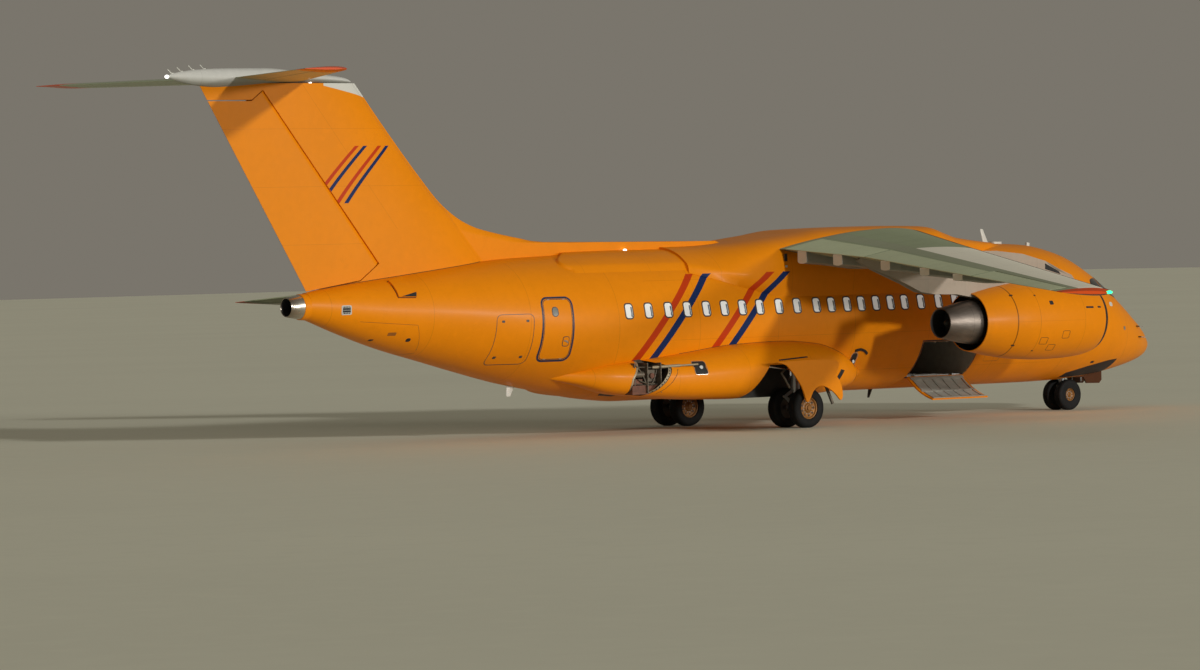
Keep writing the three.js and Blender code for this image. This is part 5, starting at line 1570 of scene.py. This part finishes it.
deck_glass = Shader("deck_glass", (0.010, 0.011, 0.012), rough=0.12, coat=0.5, coat_rough=0.06, specular=0.3)
deck_glass.vary(1.2, 0.3, detail=1.0)
deck_glass = deck_glass.done()
deck_frame = plain_finish("deck_window_frame", (0.045, 0.04, 0.035), 0.45, 0.1)


MIDDLE_POST = math.radians(2.6)


def deck_pane(side, corners):
    """The outline of a pane as (aft, angle), from corners given as (aft, z), with no z at the middle post."""
    post = math.pi / 2 - side * MIDDLE_POST
    return [(back, post if z is None else skin_angle(back, z, side)) for back, z in corners]


def round_corners(points):
    """Cuts the corners of an outline to smooth curves."""
    result = []
    for i, corner in enumerate(points):
        middle = Vector(corner)
        start = middle.lerp(Vector(points[i - 1]), 0.18)
        end = middle.lerp(Vector(points[(i + 1) % len(points)]), 0.18)
        for t in spread(0, 1, 4):
            result.append(tuple(start * (1 - t) ** 2 + middle * (2 * t * (1 - t)) + end * t ** 2))
    return result


# Windscreen, side window and rear side window of the flight deck
DECK_PANES = [
    [(1.56, None), (1.80, 2.66), (2.22, 3.12), (2.26, None)],
    [(1.87, 2.70), (2.47, 2.82), (2.53, 3.18), (2.30, 3.14)],
    [(2.55, 2.83), (3.13, 2.90), (2.98, 3.13), (2.61, 3.16)],
]
deck = Shape()
for tag, side in SIDES:
    for corners in DECK_PANES:
        outline = round_corners(deck_pane(side, corners))
        patch(deck, densely(shrunk(outline, 1.1), 0.05), on_keel(0.003), kind=1, depth=0.02, rings=6)
        patch(deck, densely(outline, 0.05), on_keel(0.007), depth=0.006, rings=6)
    wiper = [(back, math.pi / 2 - side * turn) for back, turn in ((1.50, 0.10), (1.72, 0.32), (1.98, 0.30))]
    strip(deck, wiper[:2], 0.03, on_keel(0.03), kind=1, depth=0.012)
    strip(deck, wiper[1:], 0.025, on_keel(0.022), kind=1, depth=0.012)
piece("flight_deck_windows", deck, [deck_glass, deck_frame], sharp=20)

# Doors and hatches of the cabin, drawn by their outlines, and the small panels near the tail

doors = Shape()


def cabin_door(shape, side, back, wide, low, high, porthole):
    """A plug door: a coloured outline, a seam, a porthole, and a handle in its recess."""
    middle = (low + high) / 2
    surface = on_side(side, 0.004)
    outlined(shape, rounded(back, middle, wide, high - low, 0.15, 6), 0.042, surface)
    outlined(shape, rounded(back, middle, wide - 0.075, high - low - 0.075, 0.12, 6), 0.012, surface, kind=1)
    patch(shape, rounded(back + 0.07, porthole, 0.17, 0.22, 0.075), surface, kind=1)
    inner = on_side(side, 0.006)
    patch(shape, rounded(back + 0.07, porthole, 0.135, 0.185, 0.06), inner, kind=2, depth=0.004)
    bar = low + 0.42
    patch(shape, rounded(back - 0.22, bar, 0.17, 0.22, 0.05), surface, kind=1)
    patch(shape, rounded(back - 0.22, bar, 0.14, 0.19, 0.04), inner, kind=3, depth=0.004)
    strip(shape, [(back - 0.27, bar - 0.03), (back - 0.24, bar + 0.01), (back - 0.17, bar + 0.02)], 0.03,
          on_side(side, 0.018), kind=4, depth=0.014)
    for z in (low + 0.02, high - 0.06):
        for shift in (-0.2, 0.2):
            hinge = rounded(back + shift, z + 0.02, 0.07, 0.018, 0.008, 2)
            patch(shape, hinge, on_side(side, 0.007), kind=4, rings=1)


porthole_grey = plain_finish("porthole_glass", (0.20, 0.21, 0.20), 0.2, scale=5.0, coat=0.5)
latch_metal = plain_finish("latch_metal", (0.42, 0.41, 0.38), 0.35, 0.7)
for tag, side in SIDES:
    cabin_door(doors, side, 19.835, 0.79, 1.72, 3.11, 2.80)
cabin_door(doors, 1, 4.48, 0.86, 1.62, 3.38, 2.86)
cabin_door(doors, -1, 4.40, 0.66, 1.80, 3.18, 2.80)
for tag, side in SIDES:
    outlined(doors, rounded(20.92, 2.22, 0.92, 1.10, 0.12), 0.012, on_side(side, 0.003), kind=1)
    for spot in ((20.62, 2.62), (21.22, 2.62), (20.62, 1.83), (21.22, 1.83)):
        patch(doors, rounded(*spot, 0.07, 0.05, 0.012, 2), on_side(side, 0.0045), kind=1, rings=1)
    panel = [(24.58, 2.71), (23.25, 2.60), (23.0, 1.98), (23.2, 1.96)]
    strip(doors, densely(panel, 0.1, False), 0.007, on_side(side, 0.003), kind=6)
    patch(doors, rounded(23.36, 2.28, 0.10, 0.075, 0.035), on_side(side, 0.004), kind=5)
    patch(doors, rounded(23.78, 2.42, 0.18, 0.07, 0.015), on_side(side, 0.004), kind=6)
    patch(doors, rounded(24.12, 2.30, 0.08, 0.035, 0.015), on_side(side, 0.004), kind=5)
    outlined(doors, rounded(6.5, 1.5, 0.5, 0.4, 0.05), 0.006, on_side(side, 0.002), kind=6)
faint_seam = plain_finish("faint_seam", (0.30, 0.10, 0.010), 0.5)
piece("cabin_doors", doors,
      [outline_blue, window_rim, porthole_grey, door_paint, latch_metal, dark, faint_seam])

# Vents near the tail: a raised air scoop with painted shade under it, and a grille in a pale frame with
# painted shade behind it

rear_vents = Shape()
GRILLE_AFT, GRILLE_Z = 24.91, 2.97
for tag, side in SIDES:
    scoop = [(23.68, 3.55), (23.28, 3.62), (23.27, 3.20), (23.67, 3.21)]
    # A dark sheet under the scoop: painted shade in its open mouth
    patch(rear_vents, densely(shrunk(scoop, 1.06), 0.1), on_side(side, 0.003), kind=1)
    patch(rear_vents, densely(scoop, 0.06), on_side(side, 0.045), kind=0, depth=0.05)
    # A dark wedge below the scoop's lower edge: a painted shadow
    painted_shadow_wedge = [(23.60, 3.213), (23.225, 3.30), (23.262, 3.205)]
    patch(rear_vents, densely(painted_shadow_wedge, 0.05), on_side(side, 0.05), kind=1, depth=0.06)
    patch(rear_vents, rounded(GRILLE_AFT, GRILLE_Z, 0.22, 0.205, 0.03), on_side(side, 0.006), kind=2)
    # Dark inside the frame: painted shade behind the grille
    patch(rear_vents, rounded(GRILLE_AFT, GRILLE_Z, 0.17, 0.155, 0.02), on_side(side, 0.008), 1, depth=0.004)
    bars = [[(shift, -0.075), (shift, 0.075)] for shift in (-0.07, -0.035, 0.0, 0.035, 0.07)]
    bars += [[(-0.082, shift), (0.082, shift)] for shift in (-0.05, 0.0, 0.05)]
    for bar in bars:
        ends = [(GRILLE_AFT + across, GRILLE_Z + up) for across, up in bar]
        strip(rear_vents, ends, 0.007, on_side(side, 0.011), kind=2)
frame_pale = plain_finish("vent_frame", (0.50, 0.50, 0.46), 0.5)
piece("rear_vents", rear_vents, [door_paint, dark, frame_pale])

# Where two skins meet, found along the outline of one of them

def inside_skin(point):
    top, bottom, half, waist = skin_section(NOSE_X - point[0])
    up = (point[2] - waist) / (top - waist if point[2] > waist else waist - bottom)
    return (point[1] / half) ** 2 + up ** 2 < 1.0


def meeting_line(points):
    """The place on a line of points, from inside the fuselage's skin outwards, where it comes out."""
    for before, after in zip(points, points[1:]):
        if inside_skin(before) and not inside_skin(after):
            low, high = Vector(before), Vector(after)
            for _ in range(12):
                middle = (low + high) / 2
                low, high = (middle, high) if inside_skin(middle) else (low, middle)
            return high
    return None


def seam_pipe(shape, path, radius=0.007):
    """A thin even pipe along a path of points."""
    rings = []
    for i, point in enumerate(path):
        way = (path[min(i + 1, len(path) - 1)] - path[max(i - 1, 0)]).normalized()
        side = way.cross(Vector((0, 0, 1) if abs(way.z) < 0.9 else (0, 1, 0))).normalized()
        other = way.cross(side)
        rings.append([point + (side * math.cos(a) + other * math.sin(a)) * radius for a in around(6)])
    shape.loft(rings)


# How far aft the gear fairings' upper seam shows
UPPER_SEAM_END = 16.4


junctions = Shape()
for tag, side in SIDES:
    upper, lower = [], []
    for back in spread(11.0, 18.9, 110):
        middle, half, level, rise = fairing_section(back)
        for path, sign, power in ((upper, 1, FAIRING_UPPER), (lower, -1, FAIRING_LOWER)):
            line = []
            for i in range(60):
                a = math.pi * (1 - i / 59)
                across = half * math.copysign(abs(math.cos(a)) ** power, math.cos(a))
                up = sign * rise * math.sin(a) ** power
                line.append((aft(back), side * (middle + across), level + up))
            found = meeting_line(line)
            if found is not None and (sign < 0 or back < UPPER_SEAM_END):
                path.append(found)
    for path in (upper, lower):
        if len(path) > 4:
            seam_pipe(junctions, path)
    root = []
    for back in spread(20.9, 25.2, 60):
        z = skin_section(back)[0] - 0.02
        ring = fin_ring(z)[1:SPINE_STEPS + BLADE_STEPS + 1]
        half = min(ring, key=lambda p: abs(p[0] - aft(back)))[1]
        top, bottom, wide, waist = skin_section(back)
        height = waist + (top - waist) * math.sqrt(max(0.0, 1 - (half / wide) ** 2))
        root.append(Vector((aft(back), side * (half + 0.001), height)))
    seam_pipe(junctions, root, 0.009)
seam_dark = plain_finish("seam_sealant", (0.06, 0.028, 0.008), 0.55)
piece("junction_seams", junctions, [seam_dark])

# Gear fairing details: vent, slots, lamp recesses and panel seams; the openings are dark patches of painted
# shade


def on_fairing(side, lift):
    return lambda back, z, more=0.0: fairing_at(back, z, side, lift + more)


def on_outer(side, lift):
    """A map to whichever stands further out, the fuselage's skin or the gear fairing."""
    def at(back, z, more=0.0):
        skin_point = skin_at(back, skin_angle(back, z, side), lift + more)
        _, high, low = [curve(back) for curve in FAIRING_CURVES]
        if not low < z < high:
            return skin_point
        fairing_point = fairing_at(back, z, side, lift + more)
        return fairing_point if abs(fairing_point.y) > abs(skin_point.y) else skin_point
    return at


def line_on(shape, path, pitch, width, surface, kind=0, depth=0.006):
    """An open ribbon along a path on a surface, with points at a pitch."""
    strip(shape, densely(path, pitch, False), width, surface, kind, depth=depth)


fairing_bits = Shape()
for tag, side in SIDES:
    # The vent and slots are dark patches: painted shade in their openings
    vent = [(12.16, 1.065), (12.0, 1.04), (11.775, 1.25), (11.94, 1.28)]
    patch(fairing_bits, densely(vent, 0.05), on_fairing(side, 0.004), kind=1)
    for slot in ([(14.0, 1.55), (13.1, 1.60)], [(13.95, 1.44), (13.5, 1.47)]):
        line_on(fairing_bits, slot, 0.1, 0.03, on_fairing(side, 0.004), kind=1)
    # Rear landing lamp, sunk in a recess drawn as a dark patch of painted shade
    surface = on_fairing(side, 0.014)
    patch(fairing_bits, rounded(16.24, 1.45, 0.31, 0.28, 0.04), surface, kind=1, depth=0.03, rings=6)
    outlined(fairing_bits, rounded(16.24, 1.45, 0.33, 0.30, 0.05), 0.008, surface, kind=3, depth=0.02)
    lamp = fairing_at(16.22, 1.46, side, 0.004)
    fairing_bits.rod(lamp, lamp + Vector((-0.012, side * 0.02, 0)), 0.045, kind=3, segments=20)
    fairing_bits.rod(lamp, lamp + Vector((-0.013, side * 0.025, 0)), 0.035, kind=2, segments=20)
    # Front recess, drawn as a dark patch of painted shade, with its lamp and hood
    surface = on_outer(side, 0.004)
    patch(fairing_bits, rounded(10.98, 1.47, 0.16, 0.30, 0.075), surface, kind=1)
    outlined(fairing_bits, rounded(10.98, 1.47, 0.19, 0.33, 0.09), 0.014, on_outer(side, 0.006), kind=3)
    lamp = on_outer(side, 0.004)(10.98, 1.43)
    fairing_bits.rod(lamp, lamp + Vector((-0.01, side * 0.02, 0)), 0.045, kind=2, segments=16)
    hood = [(10.62, 1.60), (10.72, 1.67), (10.86, 1.71), (11.02, 1.68)]
    line_on(fairing_bits, hood, 0.05, 0.05, on_outer(side, 0.03), kind=1, depth=0.03)
    line_on(fairing_bits, [(10.86, 1.30), (10.98, 1.08), (11.06, 0.98)], 0.06, 0.01, surface, kind=1)
piece("gear_fairing_details", fairing_bits, [door_paint, dark, lamp_glass, bare_metal])

# Inside the open service hatch: lining, frames, pipes and boxes, and the rim with its fastener holes

machinery_brown = plain_finish("machinery_brown", (0.15, 0.055, 0.03), 0.5, 0.2, 9.0, 0.35)
machinery_grey = plain_finish("machinery_grey", (0.11, 0.09, 0.065), 0.5, 0.3, 9.0, 0.4)
rim_metal = plain_finish("hatch_rim", (0.34, 0.28, 0.18), 0.5, 0.2, 20.0, 0.15)
hatch_inside = Shape()
patch(hatch_inside, densely(shrunk(HATCH_OUTLINE, 1.03), 0.1), on_side(-1, 0.012), depth=0.012, rings=5)
front_edge = [(17.485, 0.915), (17.345, 1.0), (17.175, 1.16), (17.045, 1.345), (16.99, 1.47)]
rear_edge = [(17.905, 0.92), (17.935, 1.08), (17.905, 1.255), (17.775, 1.45), (17.635, 1.64)]
line_on(hatch_inside, front_edge, 0.06, 0.06, on_fairing(-1, -0.02), kind=3)
line_on(hatch_inside, rear_edge, 0.06, 0.035, on_fairing(-1, -0.02), kind=3)
# Fastener holes drawn as dark patches: painted shade
for back, z in densely(front_edge, 0.085, False):
    patch(hatch_inside, rounded(back, z, 0.022, 0.032, 0.01, 2), on_fairing(-1, -0.014), kind=4, rings=1)
for back in (17.20, 17.52, 17.82):
    near, far = fairing_at(back, 1.25, -1, -0.10).y, fairing_at(back, 1.25, -1, -0.5).y
    hatch_inside.box((aft(back + 0.012), near, 0.93), (aft(back - 0.012), far, 1.60), kind=2)
# Low and high corner of each box, with the distance aft in place of X, and its material
for low, high, kind in (
        ((17.93, -1.74, 0.90), (17.12, -1.42, 1.10), 1), ((17.90, -1.70, 1.12), (17.60, -1.45, 1.24), 1),
        ((17.50, -1.72, 1.18), (17.24, -1.46, 1.44), 2)):
    hatch_inside.box((aft(low[0]), *low[1:]), (aft(high[0]), *high[1:]), kind=kind)
# Start, end, radius, material and sides of a cylinder with its end, a gauge, and the arm out of the opening
for start, end, radius, kind, segments in (
        ((17.88, -1.62, 1.34), (17.55, -1.66, 1.34), 0.075, 2, 24),
        ((17.55, -1.66, 1.34), (17.50, -1.665, 1.34), 0.05, 1, 20),
        ((17.36, -1.70, 1.31), (17.36, -1.765, 1.31), 0.06, 1, 20),
        ((17.341, -1.74, 1.491), (16.36, -2.17, 1.535), 0.022, 3, 12),
        ((17.341, -1.74, 1.491), (16.75, -1.998, 1.518), 0.036, 3, 12)):
    hatch_inside.rod((aft(start[0]), *start[1:]), (aft(end[0]), *end[1:]), radius, kind, segments)
# Start, bend, end and radius of each pipe
for start, bend, end, radius in (
        ((17.86, -1.66, 1.50), (17.50, -1.72, 1.52), (17.05, -1.74, 1.45), 0.016),
        ((17.80, -1.68, 1.56), (17.60, -1.70, 1.42), (17.52, -1.74, 1.12), 0.02),
        ((17.20, -1.72, 1.50), (17.24, -1.76, 1.28), (17.40, -1.76, 1.10), 0.014),
        ((17.74, -1.72, 1.24), (17.64, -1.75, 1.14), (17.30, -1.77, 1.13), 0.018),
        ((17.90, -1.66, 1.20), (17.70, -1.74, 1.06), (17.20, -1.76, 1.12), 0.012)):
    start, bend, end = Vector(start), Vector(bend), Vector(end)
    path = [start.lerp(bend, t).lerp(bend.lerp(end, t), t) for t in spread(0, 1, 8)]
    hatch_inside.pipe([(aft(p.x), p.y, p.z) for p in path], radius, kind=2)
panel_seam = [(17.30, 0.91), (17.16, 1.0), (16.99, 1.16), (16.86, 1.345), (16.82, 1.44)]
line_on(hatch_inside, panel_seam, 0.06, 0.009, on_fairing(-1, 0.003), kind=4)
piece("hatch_inside", hatch_inside, [hatch_lining, machinery_brown, machinery_grey, rim_metal, dark])

# Struts between the main legs and their doors, from (aft, y, z) to (aft, y, z)

STRUTS = [
    ((14.08, 2.40, 1.26), (13.98, 2.56, 0.92), 0.024), ((12.80, 2.45, 0.95), (12.64, 2.50, 0.52), 0.036),
    ((12.80, 2.45, 0.95), (13.25, 2.12, 1.30), 0.02), ((14.08, 2.40, 1.26), (13.6, 2.1, 1.40), 0.02),
]
struts = Shape()
for tag, side in SIDES:
    for start, end, radius in STRUTS:
        struts.rod(*[(aft(back), side * y, z) for back, y, z in (start, end)], radius, segments=12)
piece("gear_side_struts", struts, [machinery_grey])

# Hold: dark seal around the opening, ribs, floor rails and a net behind it

hold = Shape()
FRAME_OUT, NET_Y, NET_RADIUS = 0.02, 0.80, 0.006
edge = [(HOLD_FRONT - FRAME_OUT, HOLD_FLOOR - FRAME_OUT), (HOLD_REAR + FRAME_OUT, HOLD_FLOOR - FRAME_OUT),
        (HOLD_REAR + FRAME_OUT, HOLD_TOP + FRAME_OUT), (HOLD_FRONT - FRAME_OUT, HOLD_TOP + FRAME_OUT)]
outlined(hold, edge, 0.03, on_side(-1, 0.002), kind=2)
for back in spread(HOLD_FRONT + 0.15, HOLD_REAR - 0.15, 4):
    rear, front = aft(back + 0.02), aft(back - 0.02)
    hold.box((rear, 0.86, HOLD_FLOOR + 0.001), (front, HOLD_INNER_Y - 0.001, HOLD_TOP - 0.001))
    hold.box((rear, -1.0, HOLD_TOP - 0.045), (front, 0.86, HOLD_TOP - 0.001))
for y in (-0.85, -0.3, 0.25, 0.7):
    hold.box((aft(HOLD_REAR - 0.03), y - 0.03, HOLD_FLOOR + 0.001),
             (aft(HOLD_FRONT + 0.03), y + 0.03, HOLD_FLOOR + 0.025), kind=1)
net = [((back, HOLD_FLOOR + 0.03), (back, HOLD_TOP - 0.05))
       for back in spread(HOLD_FRONT + 0.06, HOLD_REAR - 0.06, 14)]
net += [((HOLD_REAR - 0.04, z), (HOLD_FRONT + 0.04, z))
        for z in spread(HOLD_FLOOR + 0.08, HOLD_TOP - 0.08, 6)]
for ends in net:
    hold.rod(*[(aft(back), NET_Y, z) for back, z in ends], NET_RADIUS, kind=2, segments=6)
piece("hold_fittings", hold, [lining, bare_metal, rubber_seal])

# Antennas, probes and drain mast

aerials = Shape()


def blade(shape, back, z, length, height, rake, half, kind=0):
    """A swept blade that stands on the crown, or hangs from the keel with its height below 0."""
    rings = []
    for share in (-0.12, 0.0, 0.5, 0.9, 1.0):
        out = max(0.0, share)
        chord = length * (1 - 0.45 * out) * (0.8 if share == 1.0 else 1.0)
        thick = half * (1 - 0.5 * out)
        start, level = back + rake * share, z + height * share
        rings.append([(aft(start + chord * (0.5 - 0.5 * math.cos(a))), thick * math.sin(a), level)
                      for a in around(20)])
    shape.loft(rings, kind)


# Aft, width along, turn around the crown, corner, lift, depth and material of the low covers on the crown
CROWN_COVERS = [(5.02, 0.30, 0.11, 0.05, 0.05, 0.055, 0), (3.97, 0.10, 0.045, 0.02, 0.09, 0.1, 0),
                (19.93, 0.36, 0.02, 0.01, 0.02, 0.03, 1)]
STATIC_RODS = (28.14, 28.44, 28.74, 28.98)
blade(aerials, 5.26, 4.075, 0.17, 0.34, 0.17, 0.018)
blade(aerials, 9.12, 0.722, 0.13, -0.20, 0.10, 0.022, kind=1)
blade(aerials, 19.9, 1.15, 0.22, -0.22, 0.12, 0.02)
for back, wide, turn, corner, lift, depth, kind in CROWN_COVERS:
    patch(aerials, rounded(back, math.pi / 2, wide, turn, corner), on_keel(lift), kind, depth)
for tag, side in SIDES:
    for z, reach in ((1.72, 0.14), (1.98, 0.12)):
        start = on_side(side, -0.01)(1.05, z)
        elbow = start + Vector((0.02, side * 0.09, -0.01))
        aerials.rod(start, elbow, 0.014, kind=1, segments=10)
        aerials.rod(elbow, start + Vector((0.02 + reach, side * 0.10, -0.02)), 0.010, kind=2, segments=10)
    patch(aerials, rounded(2.40, 2.54, 0.16, 0.10, 0.05), on_side(side, 0.004))
    patch(aerials, rounded(1.9, 1.95, 0.10, 0.10, 0.05), on_side(side, 0.004), kind=2)
top_curve = smooth_curve([row[0] for row in TOP_FAIRING_TABLE], [row[3] for row in TOP_FAIRING_TABLE])
for back in STATIC_RODS:
    x, top = aft(back), top_curve(back)
    aerials.rod((x, 0, top - 0.02), (aft(back + 0.12), 0, top + 0.09), 0.011, segments=8)
    aerials.rod((x, 0, top - 0.01), (x, 0, top + 0.012), 0.03, segments=10)
white_part = plain_finish("antenna_paint", (0.62, 0.62, 0.57), 0.4, scale=20.0, coat=0.2)
piece("antennas_and_probes", aerials, [white_part, dark, bare_metal])

# Lights: green to starboard, red to port, and white ones

def light_material(name, colour, glow, strength):
    s = Shader(name, colour, rough=0.1, coat=1.0, coat_rough=0.03)
    s.vary(30.0, 0.08)
    s.glow(glow, strength)
    return s.done()


green_lamp = light_material("green_lamp", (0.02, 0.5, 0.2), (0.02, 0.9, 0.28), 3.0)
red_lamp = light_material("red_lamp", (0.6, 0.02, 0.01), (1.0, 0.06, 0.03), 2.0)
white_lamp = light_material("white_lamp", (0.9, 0.92, 0.9), (1.0, 0.98, 0.92), 2.6)


def bulb(shape, centre, reach, kind=2):
    """A smooth egg-shaped lens."""
    rings = []
    for a in spread(0.0, math.pi, 10)[1:-1]:
        x, wide, tall = centre[0] + reach[0] * math.cos(a), reach[1] * math.sin(a), reach[2] * math.sin(a)
        rings.append([(x, centre[1] + wide * math.cos(b), centre[2] + tall * math.sin(b))
                      for b in around(16)])
    shape.loft(rings, kind)


lamps = Shape()
for (tag, side), kind in zip(SIDES, (1, 0)):
    bulb(lamps, (aft(15.62), side * (HALF_SPAN - 0.03), 3.018), (0.085, 0.045, 0.036), kind)
    bulb(lamps, (aft(25.42), side * 0.10, 7.88), (0.04, 0.03, 0.03))
bulb(lamps, (aft(29.12), 0, 8.02), (0.05, 0.04, 0.04))
bulb(lamps, (aft(16.74), -0.17, 4.115), (0.05, 0.04, 0.035))
piece("navigation_lights", lamps, [green_lamp, red_lamp, white_lamp])

# Wing root slot, pylon vents and small openings of the nacelles, drawn as dark patches of painted shade

openings = Shape()
for tag, side in SIDES:
    low, high = between(side, 1.6495, 1.6535)
    openings.box((aft(13.25), low, 3.78), (aft(13.16), high, 3.95))
    openings.box((aft(13.23), low, 3.64), (aft(13.16), high, 3.69), kind=2)
    vent = [(7.50, 3.585), (7.06, 3.402), (6.98, 3.33), (7.50, 3.45)]
    for out in (1, -1):
        openings.loft([[(aft(back), side * ENGINE_Y + out * (PYLON_HALF * pylon_front(back) + lift), z)
                        for back, z in vent] for lift in (-0.001, 0.003)])


def on_cowl(side, lift):
    """A map from (aft, angle) to the nacelle's outside. The angle is 0 outboard and a quarter turn on top."""
    radius = smooth_curve(*zip(*COWL_OUTSIDE))

    def at(back, angle, more=0.0):
        r = radius(back) + lift + more
        return Vector((aft(back), side * (ENGINE_Y + r * math.cos(angle)), ENGINE_Z + r * math.sin(angle)))
    return at


for tag, side in SIDES:
    surface = on_cowl(side, 0.003)
    for back, angle, wide, tall in (
            (8.00, 0.45, 0.11, 0.11), (6.80, 0.30, 0.26, 0.05), (6.46, 0.31, 0.12, 0.05)):
        patch(openings, rounded(back, angle, wide, tall, 0.02), surface)
    for back, angle in ((7.58, -0.39), (8.22, -0.56), (7.91, -0.77)):
        outlined(openings, rounded(back, angle, 0.22, 0.2, 0.03), 0.01, surface, kind=1)
    for angle in (-0.75, 0.8):
        patch(openings, rounded(9.05, angle, 0.09, 0.055, 0.015), on_cowl(side, 0.006), kind=1)
        patch(openings, rounded(9.05, angle, 0.035, 0.04, 0.01), on_cowl(side, 0.008))
    for angle in (-0.9, 0.7):
        patch(openings, rounded(8.40, angle, 0.05, 0.04, 0.01), on_cowl(side, 0.005), kind=1)
# Painted shade on the belly along the sides of the nose gear bay, down to the keel
belly_painted_shade = plain_finish("belly_painted_shade_finish", (0.022, 0.012, 0.010), 0.6)
for tag, side in SIDES:
    upper = [(back, skin_angle(back, z, side)) for back, z in
             ((1.88, 1.21), (2.2, 1.19), (2.5, 1.14), (2.93, 1.06), (3.25, 0.98), (3.5, 0.92))]
    keel = math.pi / 2 - side * (math.pi - 0.30)
    slot = upper + [(3.5, keel), (2.9, keel), (2.3, keel), (1.95, keel)]
    patch(openings, densely(slot, 0.06), on_keel(0.004), kind=3, depth=0.01, rings=8)
    patch(openings, rounded(2.87, 1.16, 0.12, 0.05, 0.02), on_side(side, 0.004))
piece("small_openings", openings, [dark, seam_dark, frame_pale, belly_painted_shade])

# Paint collar at the root of the tail exhaust

COLLAR = [(25.648, 0.29), (25.80, 0.279), (25.815, 0.268), (25.80, 0.25), (25.648, 0.25)]
collar = Shape().turned(along_x(COLLAR), (0, 0, EXHAUST_Z), segments=64, loop=True)
piece("exhaust_collar", collar, [door_paint])

# Camera, at the photograph's place

scene = bpy.context.scene
camera_data = bpy.data.cameras.new("camera")
camera = bpy.data.objects.new("camera", camera_data)
scene.collection.objects.link(camera)
CAMERA_PLACE = (-82.230, -95.743, 4.213)
YAW, PITCH, ROLL = math.radians(50.328), math.radians(-0.917), math.radians(-1.35)
# The photograph's focal length and width in pixels, and the sensor's width in millimetres
FOCAL_PIXELS, PHOTO_WIDTH, SENSOR_WIDTH = 5523, 1200, 36.0
ahead = Vector((math.cos(YAW) * math.cos(PITCH), math.sin(YAW) * math.cos(PITCH), math.sin(PITCH)))
right = Vector((math.sin(YAW), -math.cos(YAW), 0))
up = right.cross(ahead)
turned_right = right * math.cos(ROLL) + up * math.sin(ROLL)
turned_up = up * math.cos(ROLL) - right * math.sin(ROLL)
axes = Matrix((turned_right, turned_up, -ahead)).transposed()
camera.matrix_world = Matrix.Translation(CAMERA_PLACE) @ axes.to_4x4()
camera_data.sensor_width = SENSOR_WIDTH
camera_data.lens = FOCAL_PIXELS * SENSOR_WIDTH / PHOTO_WIDTH
camera_data.clip_end = 3000.0
scene.camera = camera

# Floor and light

floor_shader = Shader("studio_floor", (0.78, 0.78, 0.64), rough=0.8, specular=0.2)
floor_shader.vary(0.08, 0.03)
floor_shader.vary(1.5, 0.015)
floor_paint = floor_shader.done()
FLOOR_REACH = 400
floor_corners = [(FLOOR_REACH * x, FLOOR_REACH * y, 0) for x, y in ((-1, -1), (1, -1), (1, 1), (-1, 1))]
floor_shape = Shape().add(floor_corners, [(0, 1, 2, 3)])
floor = new_object("studio_floor", floor_shape, [floor_paint])

WORLD_COLOUR, WORLD_STRENGTH = (0.88, 0.81, 0.68, 1), 0.22
world = bpy.data.worlds.new("studio")
world.use_nodes = True
background = world.node_tree.nodes["Background"]
background.inputs[0].default_value = WORLD_COLOUR
background.inputs[1].default_value = WORLD_STRENGTH
scene.world = world


def sun(name, towards, strength, angle, colour):
    """A soft distant lamp. The angle in degrees is how wide it looks."""
    data = bpy.data.lights.new(name, "SUN")
    data.energy = strength
    data.angle = math.radians(angle)
    data.color = colour
    lamp = bpy.data.objects.new(name, data)
    lamp.rotation_euler = Vector(towards).to_track_quat("-Z", "Y").to_euler()
    scene.collection.objects.link(lamp)


sun("key", (0.10, 1.0, -0.26), 1.35, 3, (1.0, 0.98, 0.93))
sun("side", (-0.35, 1.0, -0.12), 0.9, 6, (1.0, 0.97, 0.90))
scene.view_settings.view_transform = "Standard"
